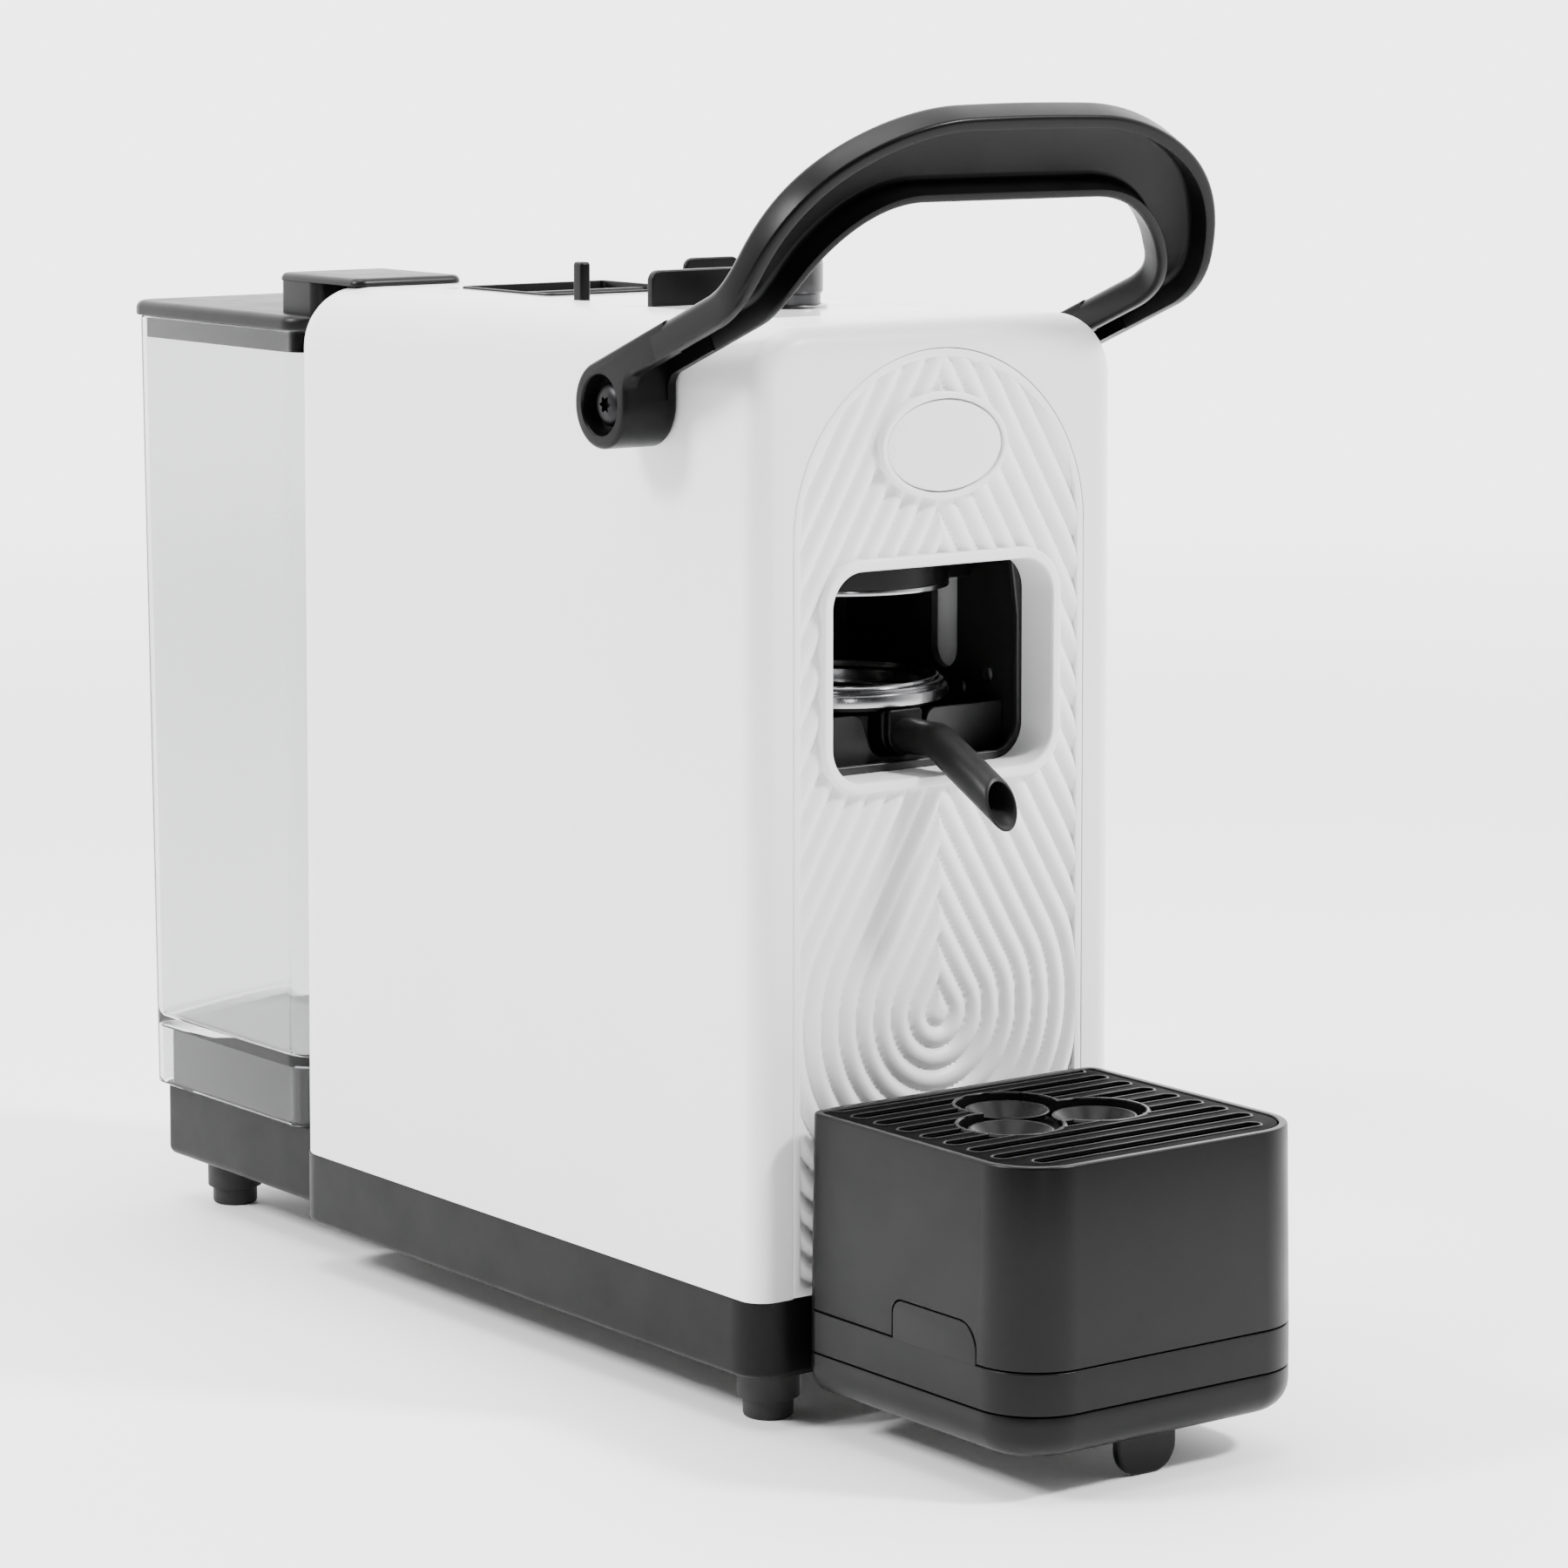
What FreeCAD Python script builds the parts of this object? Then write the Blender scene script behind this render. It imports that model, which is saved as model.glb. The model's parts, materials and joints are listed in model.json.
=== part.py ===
"""Pod coffee machine for paper pods: a free-standing slim machine with a lift lever.

Millimetres. X to the right of a person facing the front, Y towards the back, Z up.
Everything is drawn with Y = 0 on the casing's front face and Z = 0 on the table, and is
moved along Y by FRAME_SHIFT when it is saved, so that the frame's origin is the middle
of the machine's footprint, on the table.
"""
import FreeCAD, Part
import math
import os

V = FreeCAD.Vector

# ---------------------------------------------------------------- driving dimensions
# casing, base and table
CASING_HALF_W = 62.5
CASING_DEPTH = 237.0
CASING_Z0 = 36.0
CASING_Z1 = 298.0
CASING_WALL = 2.5
CASING_TOP_R = 18.0
CASING_FRONT_R = 7.0
CASING_REAR_R = 13.0
BASE_Z0 = 14.5
PLAN_CORNER_R = 12.0
FIT = 0.2
LINING_X = 46.0
LINING_THICK = 1.8
LINING_Y = (20.0, 78.0)
LINING_Z = (186.0, 262.0)
SCREW_R = 1.7
DECK_SCREWS = tuple((x, y) for x in (-50.0, 50.0) for y in (30.0, 120.0, 215.0))
HOSE_R = 3.2
HOSE_BORE_R = 1.8
HOSE_BEND_R = 7.0
HOSE_Z = 28.0
HOSE_RISE_Y = 214.0

# arched front panel, badge and window
PANEL_HALF_W = 50.0
PANEL_ARCH_TOP = 290.4
PANEL_THICK = 2.4
PANEL_BORDER = 2.2
PANEL_FIELD_DEPTH = 1.0
BADGE_Z = 264.1
BADGE_HALF_W = 21.8
BADGE_HALF_H = 14.6
WINDOW_HALF_W = 37.8
WINDOW_Z0 = 174.3
WINDOW_Z1 = 231.4
WINDOW_R = 10.0
WINDOW_DEPTH = 12.0
BEZEL_WALL = 2.0

# brew group
GROUP_Y = 46.7
PLATE_INNER_X = 38.0
PLATE_THICK = 2.2
SLOT_WIDTH = 11.6
SLOT_BOTTOM = 195.5
RING_R = 31.0
RING_TOP = 197.0
RING_HEIGHT = 6.0
HOLDER_R = 28.0
HOLDER_LOW_R = 23.8
BOWL_R = 22.6
PISTON_Z = 221.8
PISTON_TRAVEL = 24.0
GUIDE_PIN_Z = 238.0
BREW_HOSE_Z = 256.0
SHELF_SCREWS = ((38.0, 163.0), (78.0, 163.0))
SPOUT_R = 5.2
SPOUT_BORE_R = 3.6
SPOUT_Z = 183.0
SPOUT_KNEE = (1.0, 183.0)
SPOUT_TIP = (-27.5, 167.8)

# lever
PIVOT_Z = 275.8
LEVER_HALF_W = 80.5
LEVER_ARM_W = 17.5
LEVER_BAR_W = 24.2
LEVER_THICK = 9.0
LEVER_EYE_R = 12.0
LEVER_HEEL = (47.8, 278.59)
LEVER_BEND = (-15.2, 303.4)
LEVER_TIP = (-41.3, 352.5)
LEVER_CORNER_R = 56.0
LEVER_INNER_R = 30.0
LEVER_BEND_R = 31.0
LEVER_RIM = 3.0
LEVER_GROOVE = 7.0
SHAFT_R = 5.0
CRANK_R = 28.4
CRANK_ANGLE = 25.0
CRANK_PIN_R = 3.0
YOKE_Z0 = 249.0

# top of the casing
INSERT_HALF_W = 31.0
INSERT_Y0 = 34.0
INSERT_Y1 = 201.5
INSERT_THICK = 2.0
TRAY_HALF_W = 26.5
TRAY_Y0 = 150.5
TRAY_Y1 = 199.0
TRAY_DEPTH = 20.0
BUTTON_Y = 70.0
BUTTON_R = 10.0
BUTTON_HEIGHT = 14.0
BUTTON_TRAVEL = 3.0
COLLAR_THICK = 1.0

# water tank
TANK_HALF_W = 55.5
TANK_Y0 = 243.5
TANK_Y1 = 343.5
TANK_TOP = 283.6
TANK_FOOT_HALF_W = 54.0
TANK_FOOT_Y0 = 247.0
TANK_FOOT_Y1 = 339.5
TANK_SKIRT_Z = 38.6
TANK_FLOOR_Z = 57.2
TANK_FLOOR = 2.4
TANK_WALL = 2.2
TANK_R = 8.0
LID_HALF_W = 57.0
LID_Y0 = 241.5
LID_Y1 = 344.5
LID_Z0 = 283.9
LID_Z1 = 288.5
VALVE_Y = 293.0
REAR_BASE_HALF_W = 50.0
REAR_BASE_Y1 = 337.0
PLATFORM_Z = 57.0

# drip tower
TOWER_HALF_W = 50.2
TOWER_Y0 = -98.0
TOWER_Y1 = -5.0
TOWER_FRONT_R = 18.0
TOWER_REAR_R = 5.0
TOWER_SEAM_LOW = 23.5
TOWER_SEAM_HIGH = 35.0
TOWER_BOTTOM = 11.5
TOWER_TOP = 88.3
TOWER_WALL = 2.4
GRID_TOP = 88.0
GRID_THICK = 3.5
GRID_SLOTS = 9
GRID_PITCH = 9.9
GRID_SLOT_W = 4.6
LEG_HALF_W = 9.9
CUP_RING_R = 11.4
CUP_RING_CENTRES = ((0.0, -29.0), (-14.5, -48.5), (14.5, -48.5))

# works behind the group
BOILER_Y = 138.0
PUMP_Y = 160.0
PUMP_Z = 84.0
PUMP_CORE_R = 12.0

# feet
FOOT_R = 8.6
FOOT_TIP_R = 7.0
FOOT_STEP_Z = 5.5
FEET = ((46.0, 17.0), (-46.0, 17.0), (35.0, 319.0), (-35.0, 319.0))

FRAME_SHIFT = -(TOWER_Y0 + LID_Y1) / 2.0


# ---------------------------------------------------------------- drawing helpers
def box(x0, x1, y0, y1, z0, z1):
    """A block between two corners."""
    return Part.makeBox(x1 - x0, y1 - y0, z1 - z0, V(x0, y0, z0))


def cylinder(radius, start, end):
    """A round bar from start to end."""
    axis = V(*end) - V(*start)
    return Part.makeCylinder(radius, axis.Length, V(*start), axis)


def tube(outer, inner, start, end):
    """A round bar with a concentric bore right through."""
    return cylinder(outer, start, end).cut(cylinder(inner, start, end))


def cone(r0, r1, start, end):
    """A frustum from radius r0 at start to r1 at end."""
    axis = V(*end) - V(*start)
    return Part.makeCone(r0, r1, axis.Length, V(*start), axis)


def fuse(first, *others):
    """One solid from touching or overlapping solids."""
    return first.multiFuse(list(others)).removeSplitter()


def group(*solids):
    """Separate solids kept together in one node."""
    return Part.makeCompound(list(solids))


def place(u, v, plane, at):
    """A point of a drawing plane, at the given distance along the plane's normal."""
    if plane == "XY":
        return V(u, v, at)
    if plane == "XZ":
        return V(u, at, v)
    return V(at, u, v)


def outline(corners, plane, at):
    """A closed wire through (u, v, radius) corners, each rounded by its own radius."""
    starts, mids, ends = [], [], []
    count = len(corners)
    for i, (u, v, radius) in enumerate(corners):
        here = V(u, v, 0)
        back = V(*corners[i - 1][:2], 0) - here
        ahead = V(*corners[(i + 1) % count][:2], 0) - here
        back.normalize()
        ahead.normalize()
        half = back.getAngle(ahead) / 2.0
        if radius <= 0:
            starts.append(here)
            mids.append(None)
            ends.append(here)
            continue
        run = radius / math.tan(half)
        middle = back + ahead
        middle.normalize()
        starts.append(here + back * run)
        mids.append(here + middle * (radius / math.sin(half) - radius))
        ends.append(here + ahead * run)
    edges = []
    for i in range(count):
        if mids[i] is not None:
            points = [place(p.x, p.y, plane, at) for p in (starts[i], mids[i], ends[i])]
            edges.append(Part.Arc(*points).toShape())
        leave, arrive = ends[i], starts[(i + 1) % count]
        if leave.distanceToPoint(arrive) > 1e-6:
            edges.append(Part.LineSegment(place(leave.x, leave.y, plane, at),
                                          place(arrive.x, arrive.y, plane, at)).toShape())
    return Part.Wire(edges)


def slab(corners, plane, start, end):
    """A plate of the rounded outline, between two distances along the plane's normal."""
    face = Part.Face(outline(corners, plane, start))
    return face.extrude(place(0, 0, plane, end) - place(0, 0, plane, start))


def rect(u0, u1, v0, v1, radius=0.0):
    """Corners of a rectangle with one corner radius."""
    return [(u0, v0, radius), (u1, v0, radius), (u1, v1, radius), (u0, v1, radius)]


def mirrored(solid):
    """The solid and its mirror image across the machine's middle plane."""
    return solid, solid.mirror(V(0, 0, 0), V(1, 0, 0))


def screw(head_r, head_h, shank_r, length, top, direction):
    """A pan-head screw with a six-sided socket; top is the middle of the head's face."""
    way = V(*direction)
    way.normalize()
    top = V(*top)
    head = Part.makeCylinder(head_r, head_h, top, way)
    shank = Part.makeCylinder(shank_r, length, top + way * head_h, way)
    side = V(1, 0, 0) if abs(way.x) < 0.5 else V(0, 1, 0)
    points = []
    for i in range(7):
        turn = FreeCAD.Rotation(way, 60.0 * i)
        points.append(top + turn.multVec(side) * (head_r * 0.45))
    socket = Part.Face(Part.makePolygon(points)).extrude(way * (head_h * 0.6))
    return fuse(head, shank).cut(socket)


def rounded(solid, radius, keep):
    """The solid with the edges that keep() chooses rounded."""
    edges = [edge for edge in solid.Edges if keep(edge)]
    return solid.makeFillet(radius, edges)


def at_height(z):
    """Chooses edges that lie at one height."""
    return lambda edge: abs(edge.BoundBox.ZMin - z) < 1e-4 and abs(edge.BoundBox.ZMax - z) < 1e-4


def at_depth(y):
    """Chooses edges that lie at one distance from the casing's front face."""
    return lambda edge: abs(edge.BoundBox.YMin - y) < 1e-4 and abs(edge.BoundBox.YMax - y) < 1e-4


# ---------------------------------------------------------------- casing and front
def outline_edges(y):
    """Chooses the casing's edges at one distance from its front, except the one at its foot."""
    level = at_depth(y)
    return lambda edge: level(edge) and edge.BoundBox.ZMax > CASING_Z0 + 1.0


def hood_block(inset):
    """The casing's solid form, drawn in by the wall thickness for its inside."""
    half = CASING_HALF_W - inset
    top = CASING_Z1 - inset
    arch_r = CASING_TOP_R - inset
    corners = [(-half, CASING_Z0, 0), (half, CASING_Z0, 0), (half, top, arch_r), (-half, top, arch_r)]
    block = slab(corners, "XZ", inset, CASING_DEPTH - inset)
    block = rounded(block, CASING_REAR_R - inset, outline_edges(CASING_DEPTH - inset))
    return rounded(block, CASING_FRONT_R - inset, outline_edges(inset))


def arch(half_w, z0, z1):
    """Corners of a round-headed opening."""
    return [(-half_w, z0, 0), (half_w, z0, 0), (half_w, z1, half_w - 0.01), (-half_w, z1, half_w - 0.01)]


def lining():
    """The light walls moulded inside the casing, one beyond each side plate of the group."""
    y0, y1 = LINING_Y
    z0, z1 = LINING_Z
    wall = box(LINING_X, LINING_X + LINING_THICK, y0, y1, z0, z1)
    ribs = [box(LINING_X, CASING_HALF_W - 1.0, y, y + LINING_THICK, z0, z1)
            for y in (y0, y1 - LINING_THICK)]
    return mirrored(fuse(wall, *ribs))


def casing():
    """The white hood, open underneath, with its doorway, top opening and shaft holes."""
    shell = fuse(hood_block(0.0).cut(hood_block(CASING_WALL)), *lining())
    doorway = slab(arch(PANEL_HALF_W + FIT, CASING_Z0 - 1.0, PANEL_ARCH_TOP + FIT), "XZ", -1.0, 6.0)
    top_hole = box(-INSERT_HALF_W - FIT, INSERT_HALF_W + FIT, INSERT_Y0 - FIT, INSERT_Y1 + FIT,
                   CASING_Z1 - 5.0, CASING_Z1 + 1.0)
    shaft_hole = cylinder(SHAFT_R + 1.5, (-90, GROUP_Y, PIVOT_Z), (90, GROUP_Y, PIVOT_Z))
    return shell.cut(doorway).cut(top_hole).cut(shaft_hole)


def window_corners(grow):
    """Corners of the window, grown outwards by a distance."""
    return rect(-WINDOW_HALF_W - grow, WINDOW_HALF_W + grow, WINDOW_Z0 - grow, WINDOW_Z1 + grow,
                WINDOW_R + grow)


def front_panel():
    """The arched panel: a skin flush with the casing, and a flange behind the casing's wall."""
    skin = slab(arch(PANEL_HALF_W, CASING_Z0 + FIT, PANEL_ARCH_TOP), "XZ", 0.0, PANEL_THICK + 0.3)
    flange_top = PANEL_ARCH_TOP - 0.5
    flange = slab(arch(PANEL_HALF_W + 3.0, CASING_Z0 + FIT, flange_top), "XZ",
                  CASING_WALL + FIT, CASING_WALL + FIT + PANEL_THICK)
    border = PANEL_BORDER
    field = slab(arch(PANEL_HALF_W - border, CASING_Z0 + border, PANEL_ARCH_TOP - border),
                 "XZ", -1.0, PANEL_FIELD_DEPTH)
    rim = slab(window_corners(BEZEL_WALL + 4.0), "XZ", -1.0, PANEL_FIELD_DEPTH)
    hole = slab(window_corners(BEZEL_WALL + FIT), "XZ", -1.0, 10.0)
    return fuse(skin, flange).cut(field.cut(rim)).cut(hole)


def oval(half_w, half_h, y0, y1):
    """An upright oval plate on the front."""
    edge = Part.Ellipse(V(half_w, y0, BADGE_Z), V(0, y0, BADGE_Z + half_h), V(0, y0, BADGE_Z))
    face = Part.Face(Part.Wire([edge.toShape()]))
    return face.extrude(V(0, y1 - y0, 0))


def oval_badge():
    """A plain oval medallion with a raised rim, standing on the panel's field."""
    rim = 2.2
    plate = oval(BADGE_HALF_W, BADGE_HALF_H, -1.6, PANEL_FIELD_DEPTH)
    return plate.cut(oval(BADGE_HALF_W - rim, BADGE_HALF_H - rim, -2.0, -0.6))


def window_bezel():
    """The window's raised rim and its deep straight reveal."""
    sleeve = slab(window_corners(BEZEL_WALL), "XZ", -1.2, WINDOW_DEPTH)
    rim = slab(window_corners(BEZEL_WALL + 1.6), "XZ", -1.2, -0.1)
    rim = fuse(sleeve, rim)
    return rim.cut(slab(window_corners(0.0), "XZ", -2.0, WINDOW_DEPTH + 1.0))


# ---------------------------------------------------------------- base, feet, rear base
def base_plinth():
    """The black tray under the casing, open on top, with a slot for the drip tower's tongue."""
    half = CASING_HALF_W
    block = slab(rect(-half, half, 0.0, CASING_DEPTH, PLAN_CORNER_R), "XY", BASE_Z0, CASING_Z0)
    block = rounded(block, 2.0, at_height(BASE_Z0))
    wall = 3.0
    hollow = slab(rect(-half + wall, half - wall, wall, CASING_DEPTH - wall, PLAN_CORNER_R - wall),
                  "XY", BASE_Z0 + wall, CASING_Z0 + 1.0)
    slot = box(-20.0, 20.0, -1.0, wall + 1.0, 24.6, 30.6)
    hose_hole = cylinder(HOSE_R + 1.0, (0, CASING_DEPTH - wall - 1.0, HOSE_Z),
                         (0, CASING_DEPTH + 1.0, HOSE_Z))
    shell = block.cut(hollow).cut(slot).cut(hose_hole)
    posts = [cylinder(5.0, (x, y, BASE_Z0 + 1.0), (x, y, CASING_Z0)) for x, y in DECK_SCREWS]
    screw_bores = [cylinder(SCREW_R, (x, y, CASING_Z0 - 9.0), (x, y, CASING_Z0 + 1.0))
                   for x, y in DECK_SCREWS]
    foot_bores = [cylinder(2.0, (x, y, BASE_Z0 - 1.0), (x, y, BASE_Z0 + 4.0)) for x, y in FEET[:2]]
    return fuse(shell, *posts).cut(group(*foot_bores)).cut(group(*screw_bores))


def deck_plate():
    """The flat metal deck that closes the base and carries the works."""
    plate = slab(rect(-58.0, 58.0, 8.0, 229.0, 6.0), "XY", CASING_Z0, CASING_Z0 + 2.0)
    holes = [cylinder(SCREW_R, (x, y, CASING_Z0 - 1.0), (x, y, CASING_Z0 + 3.0))
             for x, y in DECK_SCREWS]
    hose_hole = cylinder(HOSE_R + 1.0, (0, HOSE_RISE_Y, CASING_Z0 - 1.0), (0, HOSE_RISE_Y, CASING_Z0 + 3.0))
    return plate.cut(group(*holes, hose_hole))


def frame_screws():
    """The screws that clamp the deck to the base, and the shelf between the side plates."""
    solids = [screw(3.4, 2.2, SCREW_R, 8.0, (x, y, CASING_Z0 + 4.2), (0, 0, -1)) for x, y in DECK_SCREWS]
    outside = PLATE_INNER_X + PLATE_THICK + 2.2
    for y, z in SHELF_SCREWS:
        solids += mirrored(screw(3.4, 2.2, SCREW_R, 5.0, (outside, y, z), (-1, 0, 0)))
    return group(*solids)


def tank_base():
    """The narrower rear block that carries the tank, with its raised platform."""
    half = REAR_BASE_HALF_W
    start = CASING_DEPTH + FIT
    block = slab(rect(-half, half, start, REAR_BASE_Y1, 4.0), "XY", BASE_Z0, 38.2)
    block = rounded(block, 3.0, at_height(BASE_Z0))
    top = slab(rect(-half + 1.0, half - 1.0, 251.0, 335.0, 5.0), "XY", 38.0, PLATFORM_Z)
    hollow = box(-half + 4.0, half - 4.0, start + 3.0, REAR_BASE_Y1 - 5.0, BASE_Z0 + 3.0, 35.0)
    upper = box(-half + 4.0, half - 4.0, 255.0, 331.0, 34.0, PLATFORM_Z - 2.5)
    inlet = box(-13.7, 13.7, REAR_BASE_Y1 - 23.0, REAR_BASE_Y1 + 1.0, 16.2, 36.4)
    hose_hole = cylinder(HOSE_R + 1.0, (0, start - 1.0, HOSE_Z), (0, start + 4.0, HOSE_Z))
    well = cylinder(10.2, (0, VALVE_Y, PLATFORM_Z - 4.0), (0, VALVE_Y, PLATFORM_Z + 1.0))
    foot_bores = [cylinder(2.0, (x, y, BASE_Z0 - 1.0), (x, y, BASE_Z0 + 4.0)) for x, y in FEET[2:]]
    return fuse(block, top).cut(group(hollow, upper)).cut(group(inlet, well, hose_hole, *foot_bores))


def feet():
    """Four stepped rubber feet with a stud in the base."""
    solids = []
    for x, y in FEET:
        upper = cylinder(FOOT_R, (x, y, FOOT_STEP_Z), (x, y, BASE_Z0))
        tip = rounded(cylinder(FOOT_TIP_R, (x, y, 0), (x, y, FOOT_STEP_Z)), 1.0, at_height(0.0))
        stud = cylinder(1.9, (x, y, BASE_Z0 - 0.5), (x, y, BASE_Z0 + 3.0))
        solids.append(fuse(upper, tip, stud))
    return group(*solids)


def mains_inlet():
    """A three-pole appliance inlet in the back of the rear base."""
    body = box(-13.5, 13.5, REAR_BASE_Y1 - 22.0, REAR_BASE_Y1 + 0.4, 16.4, 36.2)
    cup = slab([(-11.5, 18.2, 0.5), (11.5, 18.2, 0.5), (11.5, 29.0, 0.5), (6.5, 34.4, 0.5),
                (-6.5, 34.4, 0.5), (-11.5, 29.0, 0.5)], "XZ", REAR_BASE_Y1 - 15.0, REAR_BASE_Y1 + 1.0)
    blades = [box(x - 1.0, x + 1.0, REAR_BASE_Y1 - 16.0, REAR_BASE_Y1 - 1.5, z, z + 4.0)
              for x, z in ((-7.0, 22.0), (7.0, 22.0), (0.0, 27.0))]
    return fuse(body.cut(cup), *blades)


# ---------------------------------------------------------------- top of the casing
def top_insert():
    """The glossy plate let into the casing's top."""
    plate = box(-INSERT_HALF_W, INSERT_HALF_W, INSERT_Y0, INSERT_Y1,
                CASING_Z1 - INSERT_THICK, CASING_Z1)
    opening = slab(rect(-TRAY_HALF_W, TRAY_HALF_W, TRAY_Y0, TRAY_Y1, 3.0), "XY",
                   CASING_Z1 - 5.0, CASING_Z1 + 1.0)
    lugs = box(-INSERT_HALF_W - 3.0, INSERT_HALF_W + 3.0, INSERT_Y0 + 4.0, INSERT_Y1 - 60.0,
               CASING_Z1 - 4.2, CASING_Z1 - 2.6)
    inner = box(-INSERT_HALF_W + 3.0, INSERT_HALF_W - 3.0, INSERT_Y0 + 7.0, INSERT_Y1 - 63.0,
                CASING_Z1 - 6.0, CASING_Z1 - INSERT_THICK)
    web = box(-INSERT_HALF_W + 1.0, INSERT_HALF_W - 1.0, INSERT_Y0 + 5.0, INSERT_Y1 - 61.0,
              CASING_Z1 - 4.2, CASING_Z1 - 1.0)
    button_hole = cylinder(BUTTON_R + 0.5, (0, BUTTON_Y, CASING_Z1 - 8.0), (0, BUTTON_Y, CASING_Z1 + 1.0))
    frame = fuse(lugs, web).cut(inner)
    return fuse(plate, frame).cut(opening).cut(button_hole)


def top_tray():
    """The black tray in the insert's rear opening, with a bar across it."""
    lip = 0.3
    outer = slab(rect(-TRAY_HALF_W + lip, TRAY_HALF_W - lip, TRAY_Y0 + lip, TRAY_Y1 - lip, 2.7), "XY",
                 CASING_Z1 - TRAY_DEPTH, CASING_Z1 - 0.6)
    wall = 1.6
    inner = slab(rect(-TRAY_HALF_W + wall, TRAY_HALF_W - wall, TRAY_Y0 + wall, TRAY_Y1 - wall, 1.4), "XY",
                 CASING_Z1 - TRAY_DEPTH + wall, CASING_Z1 + 1.0)
    bar = box(-TRAY_HALF_W + 1.0, TRAY_HALF_W - 1.0, 175.0, 178.0, CASING_Z1 - 8.0, CASING_Z1 - 1.6)
    flange = slab(rect(-TRAY_HALF_W - 2.0, TRAY_HALF_W + 2.0, TRAY_Y0 - 2.0, TRAY_Y1 + 2.0, 3.0), "XY",
                  CASING_Z1 - INSERT_THICK - 1.4, CASING_Z1 - INSERT_THICK)
    return fuse(outer, flange).cut(inner).fuse(bar).removeSplitter()


def rack_plate(x0, x1, y0, y1, height):
    """An upright black plate standing on the insert, with rounded shoulders."""
    z0 = CASING_Z1
    corners = [(x0, z0, 0), (x1, z0, 0), (x1, z0 + height, 3.0), (x0, z0 + height, 3.0)]
    return slab(corners, "XZ", y0, y1)


def rack_fin():
    """The narrow upright at the insert's left edge."""
    block = box(-30.8, -27.4, 127.5, 132.0, CASING_Z1, CASING_Z1 + 11.0)
    return rounded(block, 1.4, at_height(CASING_Z1 + 11.0))


def brew_button():
    """The round push button, with its stem through the insert."""
    top = CASING_Z1 + BUTTON_HEIGHT
    under = CASING_Z1 + COLLAR_THICK + BUTTON_TRAVEL + FIT
    cap = cylinder(BUTTON_R, (0, BUTTON_Y, under), (0, BUTTON_Y, top))
    cap = rounded(cap, 1.5, at_height(top))
    skirt = cylinder(BUTTON_R - 0.6, (0, BUTTON_Y, CASING_Z1 - 4.0), (0, BUTTON_Y, under))
    stem = cylinder(3.0, (0, BUTTON_Y, CASING_Z1 - 9.6), (0, BUTTON_Y, CASING_Z1 - 4.0))
    return fuse(cap, skirt, stem)


def button_collar():
    """The thin flange round the button."""
    return tube(BUTTON_R + 1.4, BUTTON_R - 0.2, (0, BUTTON_Y, CASING_Z1),
                (0, BUTTON_Y, CASING_Z1 + COLLAR_THICK))


def button_switch():
    """The microswitch under the button, hung from the insert."""
    body = box(-7.0, 7.0, BUTTON_Y - 9.0, BUTTON_Y + 9.0, CASING_Z1 - 24.0, CASING_Z1 - 13.0)
    pip = box(-1.5, 1.5, BUTTON_Y - 1.5, BUTTON_Y + 1.5, CASING_Z1 - 13.0, CASING_Z1 - 12.8)
    legs = [box(x - 1.0, x + 1.0, BUTTON_Y - 11.5, BUTTON_Y - 9.0, CASING_Z1 - 24.0, CASING_Z1 - 2.0)
            for x in (-5.0, 5.0)]
    return fuse(body, pip, *legs)


# ---------------------------------------------------------------- brew group
def side_plates():
    """The two upright steel plates, slotted for the guide pin."""
    x0, x1 = PLATE_INNER_X, PLATE_INNER_X + PLATE_THICK
    plate = slab(rect(14.6, 96.0, CASING_Z0 + 2.0, 290.0, 3.0), "YZ", x0, x1)
    slot = slab(rect(GROUP_Y - SLOT_WIDTH / 2, GROUP_Y + SLOT_WIDTH / 2, SLOT_BOTTOM, 247.0,
                     SLOT_WIDTH / 2 - 0.01), "YZ", x0 - 1.0, x1 + 1.0)
    bearing = cylinder(8.0, (x0 - 1, GROUP_Y, PIVOT_Z), (x1 + 1, GROUP_Y, PIVOT_Z))
    holes = [cylinder(2.25, (x0 - 1, y, z), (x1 + 1, y, z)) for y, z in ((27.3, 195.5), (39.1, 190.7))]
    holes += [cylinder(SCREW_R, (x0 - 1, y, z), (x1 + 1, y, z)) for y, z in SHELF_SCREWS]
    plate = plate.cut(group(slot, bearing, *holes))
    return group(*mirrored(plate))


def chamber_frame():
    """The black frame behind the window's reveal, and the low wall that carries the holder."""
    y0 = WINDOW_DEPTH + FIT
    outer = rect(-44.0, 44.0, 166.0, 244.0, 4.0)
    frame = slab(outer, "XZ", y0, y0 + 2.0)
    opening = [(-36.6, 176.6, 8.0), (36.6, 176.6, 8.0), (36.6, 214.0, 4.0), (33.6, 236.0, 2.0),
               (-33.6, 236.0, 2.0), (-36.6, 214.0, 4.0)]
    frame = frame.cut(slab(opening, "XZ", y0 - 1.0, y0 + 3.0))
    wall = box(-37.6, 37.6, 20.5, 22.5, 168.0, 188.8)
    notch = slab([(-9.0, 200.0, 0), (-9.0, 176.6, 8.9), (9.0, 176.6, 8.9), (9.0, 200.0, 0)],
                 "XZ", 19.0, 24.0)
    sill = box(-37.6, 37.6, y0 + 1.0, 22.5, 168.0, 171.0)
    return fuse(frame, sill, wall.cut(notch))


def shelf():
    """The steel shelf between the plates, under the pod holder."""
    plate = box(-PLATE_INNER_X, PLATE_INNER_X, 24.0, 92.0, 168.0, 170.5)
    tabs = [box(x, x + 3.0, 30.0, 86.0, 158.0, 169.0) for x in (-PLATE_INNER_X, PLATE_INNER_X - 3.0)]
    holes = [cylinder(SCREW_R, (-40.0, y, z), (40.0, y, z)) for y, z in SHELF_SCREWS]
    return fuse(plate, *tabs).cut(group(*holes))


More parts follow.
